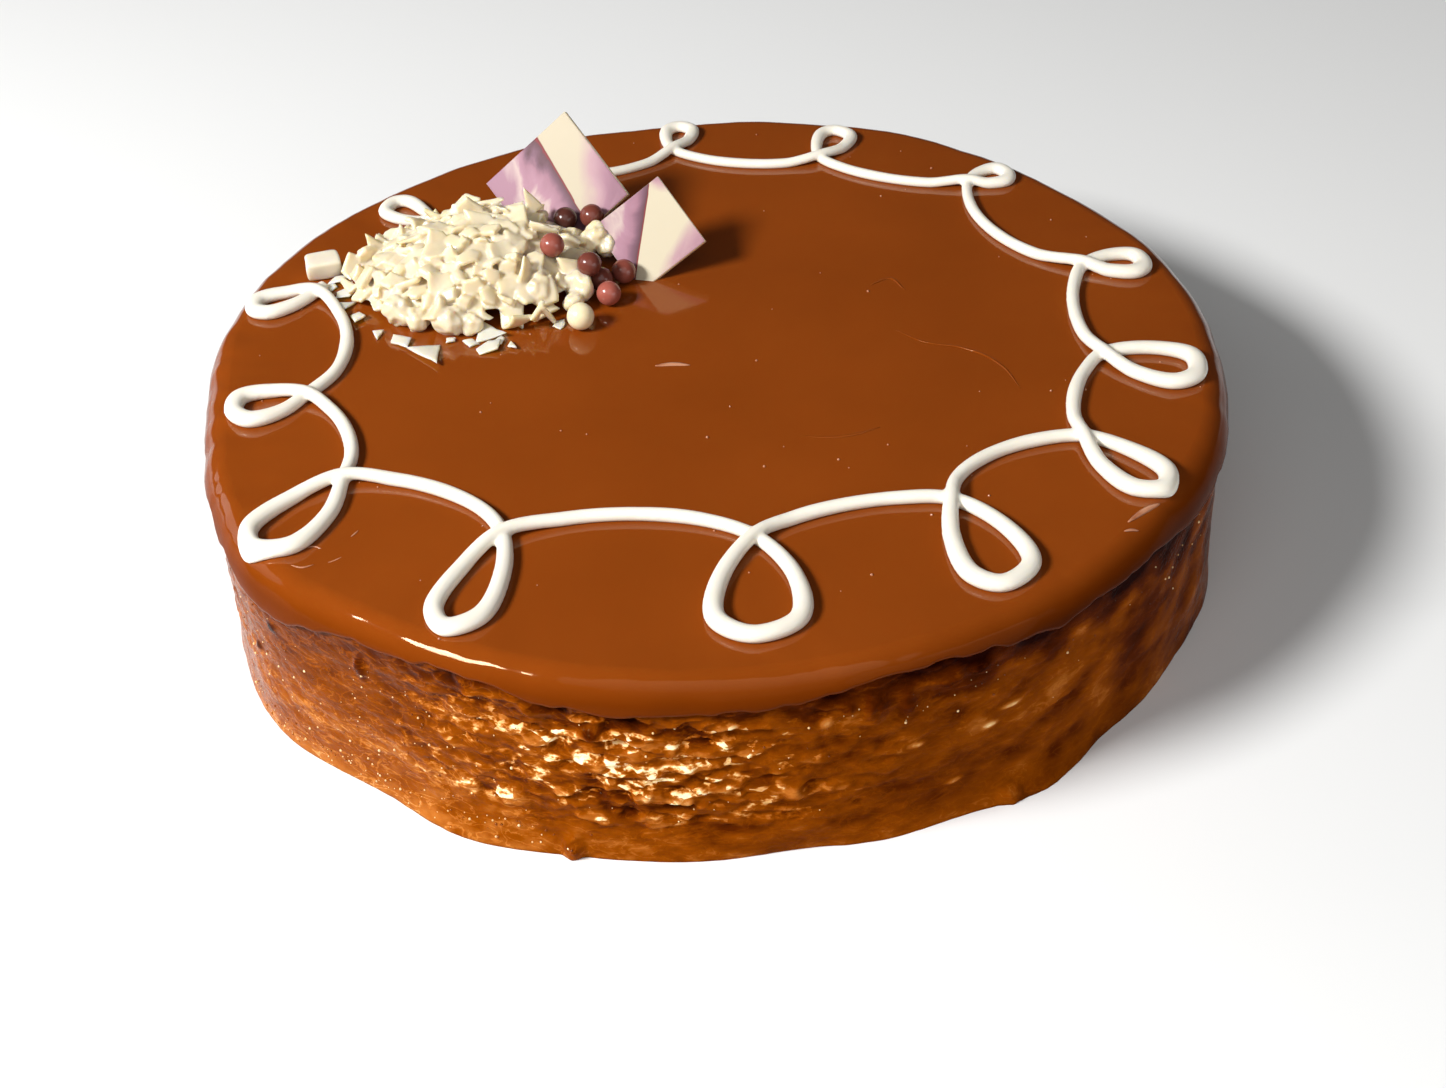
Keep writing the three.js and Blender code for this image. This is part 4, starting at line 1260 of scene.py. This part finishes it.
# Toppings
def heap_point(radians, share):
    """Place on the mound, at a share of the way from its middle to its rim."""
    x = HEAP_MIDDLE[0] + HEAP_RADII[0] * share * math.cos(radians)
    y = HEAP_MIDDLE[1] + HEAP_RADII[1] * share * math.sin(radians)
    lower = 1 - HEAP_SLOPE * max(0, -share * math.cos(radians))
    z = CAKE_HEIGHT + lower * HEAP_HEIGHT * max(0, 1 - share * share) ** HEAP_FULLNESS
    return np.array([x, y, z])


def heap_normal(radians, share):
    """Way out of the mound, a little inside its steep rim."""
    step = 0.03
    steepest = 0.9
    share = min(max(share, step), steepest)
    outward = heap_point(radians, share + step) - heap_point(radians, share - step)
    around = heap_point(radians + step, share) - heap_point(radians - step, share)
    return Vector(np.cross(outward, around)).normalized()


def flake_rim(rng, corners, per_side):
    """Rim of an uneven flat shape of about unit size, with its first corner at the top."""
    strays = rng.uniform(-CORNER_STRAY, CORNER_STRAY, corners)
    turns = math.pi / 2 + (np.arange(corners) + strays) * 2 * math.pi / corners
    reach = rng.uniform(*CORNER_REACH, corners)
    if corners == 3:
        reach[0] = TRIANGLE_REACH
    slimness = rng.uniform(*FLAKE_SLIMNESS)
    tips = np.column_stack([slimness * np.cos(turns), np.sin(turns)]) * reach[:, None]
    rim = []
    for tip, following in zip(tips, np.roll(tips, -1, axis=0)):
        for step in range(per_side):
            ragged = rng.normal(0, RIM_RAGGEDNESS, 2) if step else 0
            rim.append(between(step / per_side, (tip, following)) + ragged)
    return np.array(rim)


def flake_part(rng, half, corners, thickness, bend):
    """Bent flake with soft edges, lying round the origin."""
    rim = flake_rim(rng, corners, RIM_STEPS) * half
    count = len(rim)
    middle = rim.mean(axis=0)
    rings = []
    for share, level in FLAKE_PROFILE:
        ring = between(share, (middle, rim))
        rings.append(np.column_stack([ring, np.full(count, level * thickness / 2)]))
    points, faces = capped(rings, (*middle, -thickness / 2), (*middle, thickness / 2))
    turn = rng.uniform(0, math.pi)
    along = points[:, 0] * math.cos(turn) + points[:, 1] * math.sin(turn)
    points[:, 2] *= 1 + FLAKE_WEDGE * along / half
    points[:, 2] += bend * along**2 / half
    spots = points * [1, 1, 0] + rng.uniform(0, 1, 3)
    points[:, 2] += FLAKE_WAVE * half * lattice_noise(spots, FLAKE_WAVELENGTH * half, SEED + 30)
    return points, faces


def square_matrix(corner, turn, lean, roll):
    """Puts a square on its lower corner: turned, leant to the back and rolled in its own plane."""
    placed = Matrix.Translation(Vector(corner) * MM)
    for angle, axis in ((turn, "Z"), (-lean, "X"), (-roll - 45, "Y")):
        placed = placed @ Matrix.Rotation(math.radians(angle), 4, axis)
    return placed


def off_squares(place, reach):
    """True where a flake doesn't stick through a square or lie behind it."""
    for square in SQUARES.values():
        corner, side, turn, lean, roll = square[:5]
        local = square_matrix(corner, turn, lean, roll).inverted() @ Vector(place)
        beside = min(local.x, local.z) < -reach or max(local.x, local.z) > side * MM + reach
        if not beside and local.y > -SQUARE_CLEARANCE * reach:
            return False
    return True


def off_pearls(place, reach):
    """True where a flake leaves the pearls open to the front and the top."""
    for pearl in [*BROWN_PEARLS, WHITE_PEARL]:
        away = np.asarray(place) - on_glaze(*pearl[:3])
        before = np.clip(away @ OPEN_SIDE, 0, OPEN_REACH)
        if np.linalg.norm(away - before * OPEN_SIDE) < PEARL_RADIUS + PEARL_CLEARANCE * reach:
            return False
    return True


def heap_core():
    """Uneven mound under the flakes."""
    turns = 2 * math.pi * np.arange(CORE_AROUND) / CORE_AROUND
    rings = []
    for row in range(CORE_ROWS):
        share = CORE_SHARE * math.cos(math.pi / 2 * row / CORE_ROWS)
        ring = np.array([heap_point(turn, share) for turn in turns])
        ring[:, 2] -= CORE_SINK
        rings.append(shaken(ring, 4 * MM, CORE_UNEVENNESS, SEED + 50))
    return capped(rings, (*HEAP_MIDDLE, CAKE_HEIGHT), heap_point(0, 0) - [0, 0, CORE_SINK])


def shavings_piece(material):
    """Flakes all over the mound, with lumps and single flakes where they stand out."""
    rng = np.random.default_rng(SEED)
    parts = [heap_core()]
    for index in range(FLAKE_COUNT):
        share = math.sqrt((index + 0.5) / FLAKE_COUNT) * FLAKE_SPREAD
        half = between(rng.uniform() ** SMALL_FLAKES, FLAKE_HALF) * (1 - RIM_SHRINK * share**2)
        radians = index * GOLDEN_RADIANS
        upright = rng.uniform() < UPRIGHT_SHARE
        tilt = rng.uniform(*UPRIGHT_TILTS) if upright else rng.normal(0, LYING_TILT)
        bend = rng.normal(0, FLAKE_BEND)
        thickness = between(rng.uniform(), FLAKE_THICKNESS)
        points, faces = flake_part(rng, half, rng.integers(*FLAKE_CORNERS), thickness, bend)
        points = turned(points, rng.uniform(0, 360), tilt, rng.uniform(0, 360), (0, 0, 0))
        rock = Vector((0, 0, 1)).rotation_difference(heap_normal(radians, share)).to_matrix()
        place = heap_point(radians, share)
        place[2] += rng.uniform(*FLAKE_LIFTS) * half
        points = points @ np.array(rock).T + place
        points[:, 2] += max(0, CAKE_HEIGHT - FLAKE_SINK - points[:, 2].min())
        if off_squares(place, half) and off_pearls(place, half):
            parts.append((points, faces))
    for x, y, rise, radius in LUMPS:
        parts.append(ball_part(radius * MM, on_glaze(x, y, rise), LUMP_ROUNDNESS, LUMP_BUMPS))
    for x, y, rise, half, roll, tilt, spin in HERO_FLAKES:
        points, faces = flake_part(rng, half * MM, 3, HERO_THICKNESS, HERO_BEND)
        parts.append((turned(points, roll, tilt, spin, on_glaze(x, y, rise)), faces))
    piece = mesh_piece("shavings", *joined(parts), material)
    fuse(piece, HEAP_VOXEL, HEAP_SMOOTHING)
    return piece


def loose_piece(material):
    """Shards on the glaze and the chunk by the loops."""
    rng = np.random.default_rng(SEED + 1)
    parts = []
    for index, (x, y, half, roll, tilt) in enumerate(SHARDS):
        bend = rng.normal(0, SHARD_BEND)
        points, faces = flake_part(rng, half * MM, 3 + index % 3, SHARD_THICKNESS, bend)
        points = turned(points, roll, tilt, rng.uniform(0, 360), on_glaze(x, y, 0))
        points[:, 2] += CAKE_HEIGHT - points[:, 2].min()
        parts.append((points, faces))
    chunk, faces = ball_part(1, (0, 0, 0), CHUNK_ROUNDNESS)
    chunk = np.sign(chunk) * np.abs(chunk) ** CHUNK_SQUARENESS * CHUNK_HALF
    chunk = shaken(chunk, 4 * MM, CHUNK_UNEVENNESS, SEED + 60)
    parts.append((turned(chunk, *CHUNK_TURNS, on_glaze(*CHUNK_PLACE)), faces))
    return mesh_piece("loose_flakes", *joined(parts), material)


def brown_pearls_piece(material):
    """Brown pearls, each with its own depth of colour."""
    parts = []
    tints = []
    for x, y, rise, tint in BROWN_PEARLS:
        parts.append(ball_part(PEARL_RADIUS, on_glaze(x, y, rise), PEARL_ROUNDNESS, PEARL_BUMPS))
        tints.append(tint)
    piece = mesh_piece("brown_pearls", *joined(parts), material)
    store(piece, "tint", np.repeat(tints, len(parts[0][0])))
    return piece


def white_pearl_piece(material):
    """One pale pearl, a little larger than the brown ones."""
    place = on_glaze(*WHITE_PEARL)
    ball = ball_part(WHITE_PEARL_RADIUS, place, PEARL_ROUNDNESS, WHITE_PEARL_BUMPS)
    return mesh_piece("pale_pearl", *ball, material)


def printed_band(across, upward, print_lines):
    """Place of a point in the print, and how much it swirls."""
    (edge_angle, edge_away), (fade_angle, fade_away), tip = print_lines

    def beyond(angle, away):
        turn = math.radians(angle)
        return across * math.cos(turn) + upward * math.sin(turn) - away

    past_edge = beyond(edge_angle, edge_away)
    if past_edge < 0:
        return PRINT_EDGE + past_edge, min(1, -past_edge / EDGE_CALM)
    past_tip = TIP_PULL * ((across + upward) / math.sqrt(2) - tip)
    past_cream = max(0, beyond(fade_angle, fade_away), past_tip)
    place = PRINT_EDGE + min(past_edge, CREAM_START) + past_cream
    return place, min(CREAM_SWIRL, past_cream / CREAM_CALM)


def square_piece(name, printed, plain):
    """Thin plate with soft edges, printed on its front, that ends in the glaze."""
    corner, side, turn, lean, roll, print_lines = SQUARES[name]
    half = side * MM / 2
    shape = bmesh.new()
    bmesh.ops.create_grid(shape, x_segments=SQUARE_STEPS, y_segments=SQUARE_STEPS, size=half)
    made = bmesh.ops.extrude_face_region(shape, geom=shape.faces[:])
    moved = [item for item in made["geom"] if isinstance(item, bmesh.types.BMVert)]
    bmesh.ops.translate(shape, verts=moved, vec=(0, 0, SQUARE_THICKNESS))
    bmesh.ops.recalc_face_normals(shape, faces=shape.faces)
    rims = [edge for edge in shape.edges if edge.is_manifold and edge.calc_face_angle() > 1]
    bmesh.ops.bevel(shape, geom=rims, offset=SQUARE_BEVEL, segments=2, affect="EDGES", profile=0.5)
    bands = shape.verts.layers.float.new("band")
    swirls = shape.verts.layers.float.new("swirl")
    for face in shape.faces:
        face.smooth = True
        face.material_index = 0 if face.normal.z > 0.9 else 1
    for vert in shape.verts:
        across = (vert.co.x + half) / (2 * half)
        upward = (vert.co.y + half) / (2 * half)
        vert[bands], vert[swirls] = printed_band(across, upward, print_lines)
        vert.co.z += SQUARE_WARP * math.sin(3 * across + 2 * upward)
    # The printed face is up: stand the plate up with that face to the front
    upright = Matrix.Rotation(math.pi / 2, 4, "X")
    stand = Matrix.Translation((half, SQUARE_THICKNESS / 2, half)) @ upright
    shape.transform(square_matrix(corner, turn, lean, roll) @ stand)
    everything = shape.verts[:] + shape.edges[:] + shape.faces[:]
    plane = {"plane_co": (0, 0, CAKE_HEIGHT - SQUARE_SINK), "plane_no": (0, 0, 1)}
    cut = bmesh.ops.bisect_plane(shape, geom=everything, clear_inner=True, **plane)
    hole = [item for item in cut["geom_cut"] if isinstance(item, bmesh.types.BMEdge)]
    bmesh.ops.holes_fill(shape, edges=hole)
    mesh = bpy.data.meshes.new(name)
    shape.to_mesh(mesh)
    shape.free()
    mesh.materials.append(printed)
    mesh.materials.append(plain)
    piece = bpy.data.objects.new(f"marbled_{name}", mesh)
    bpy.context.scene.collection.objects.link(piece)
    return piece


# Studio
def floor_piece():
    """Plain pale floor."""
    material = new_material("pale_floor", roughness=0.7, base_color=(0.84, 0.84, 0.83, 1))[0]
    signs = [(-1, -1), (1, -1), (1, 1), (-1, 1)]
    corners = [(across * FLOOR_HALF, back * FLOOR_HALF, 0) for across, back in signs]
    mesh_piece("floor", corners, [(0, 1, 2, 3)], material)


def add_light(name, place, target, width, height, power):
    """Soft oval light that faces its target."""
    data = bpy.data.lights.new(name, "AREA")
    data.shape = "ELLIPSE"
    data.size = width
    data.size_y = height
    data.energy = power
    light = bpy.data.objects.new(name, data)
    light.location = place
    light.rotation_euler = (Vector(target) - Vector(place)).to_track_quat("-Z", "Y").to_euler()
    bpy.context.scene.collection.objects.link(light)


def add_camera():
    """Camera that looks down by its pitch, to the right by its yaw and is rolled about its view."""
    pitch = math.radians(CAMERA_PITCH)
    yaw = math.radians(CAMERA_YAW)
    roll = math.radians(CAMERA_ROLL)
    ahead = math.cos(pitch)
    forward = Vector((math.sin(yaw) * ahead, math.cos(yaw) * ahead, -math.sin(pitch)))
    level = forward.cross(Vector((0, 0, 1))).normalized()
    upright = level.cross(forward)
    right = level * math.cos(roll) + upright * math.sin(roll)
    up = upright * math.cos(roll) - level * math.sin(roll)
    data = bpy.data.cameras.new("camera")
    data.lens = CAMERA_LENS
    data.sensor_width = SENSOR_WIDTH
    camera = bpy.data.objects.new("camera", data)
    turn = Matrix((right, up, -forward)).transposed().to_4x4()
    camera.matrix_world = Matrix.Translation(CAMERA_PLACE) @ turn
    bpy.context.scene.collection.objects.link(camera)
    bpy.context.scene.camera = camera


def add_world():
    """Faint even light from all round, and colours as they are."""
    world = bpy.data.worlds.new("studio")
    world.use_nodes = True
    background = world.node_tree.nodes["Background"]
    background.inputs["Color"].default_value = (1, 1, 1, 1)
    background.inputs["Strength"].default_value = WORLD_STRENGTH
    bpy.context.scene.world = world
    bpy.context.scene.view_settings.view_transform = "Standard"


add_camera()
add_world()
for light in LIGHTS:
    add_light(*light)
floor_piece()

glaze = glaze_material()
shavings = shavings_material("white_shavings", (0.67, 0.560, 0.360), (0.71, 0.620, 0.450))
shards = shavings_material("white_shards", (0.70, 0.630, 0.500), (0.77, 0.705, 0.585))
white = white_material()
strand_path = smooth_path(strand_route(), STRAND_STEPS)

dress(sponge_piece(sponge_material()), "sponge", "sponge")
dress(beads_piece(bead_material()), "sponge")
dress(glaze_piece(glaze), "glaze", "glaze_cap")
dress(creases_piece(glaze), "glaze")
dress(marks_piece(mark_material(), strand_path), "glaze")
dress(strand_piece(icing_material(), strand_path), "icing", "piped_loops")
dress(shavings_piece(shavings), "shavings", "shavings_heap")
dress(loose_piece(shards), "shavings", *nodes_named("loose_flake"))
dress(brown_pearls_piece(milk_material()), "milk_chocolate", *nodes_named("brown_pearl"))
dress(white_pearl_piece(white), "white_chocolate", "white_pearl")
for name, cream in SQUARE_CREAMS_WITH_PAINTED_LIGHT.items():
    dress(square_piece(name, marbled_material(name, cream), white), "marbled", name)
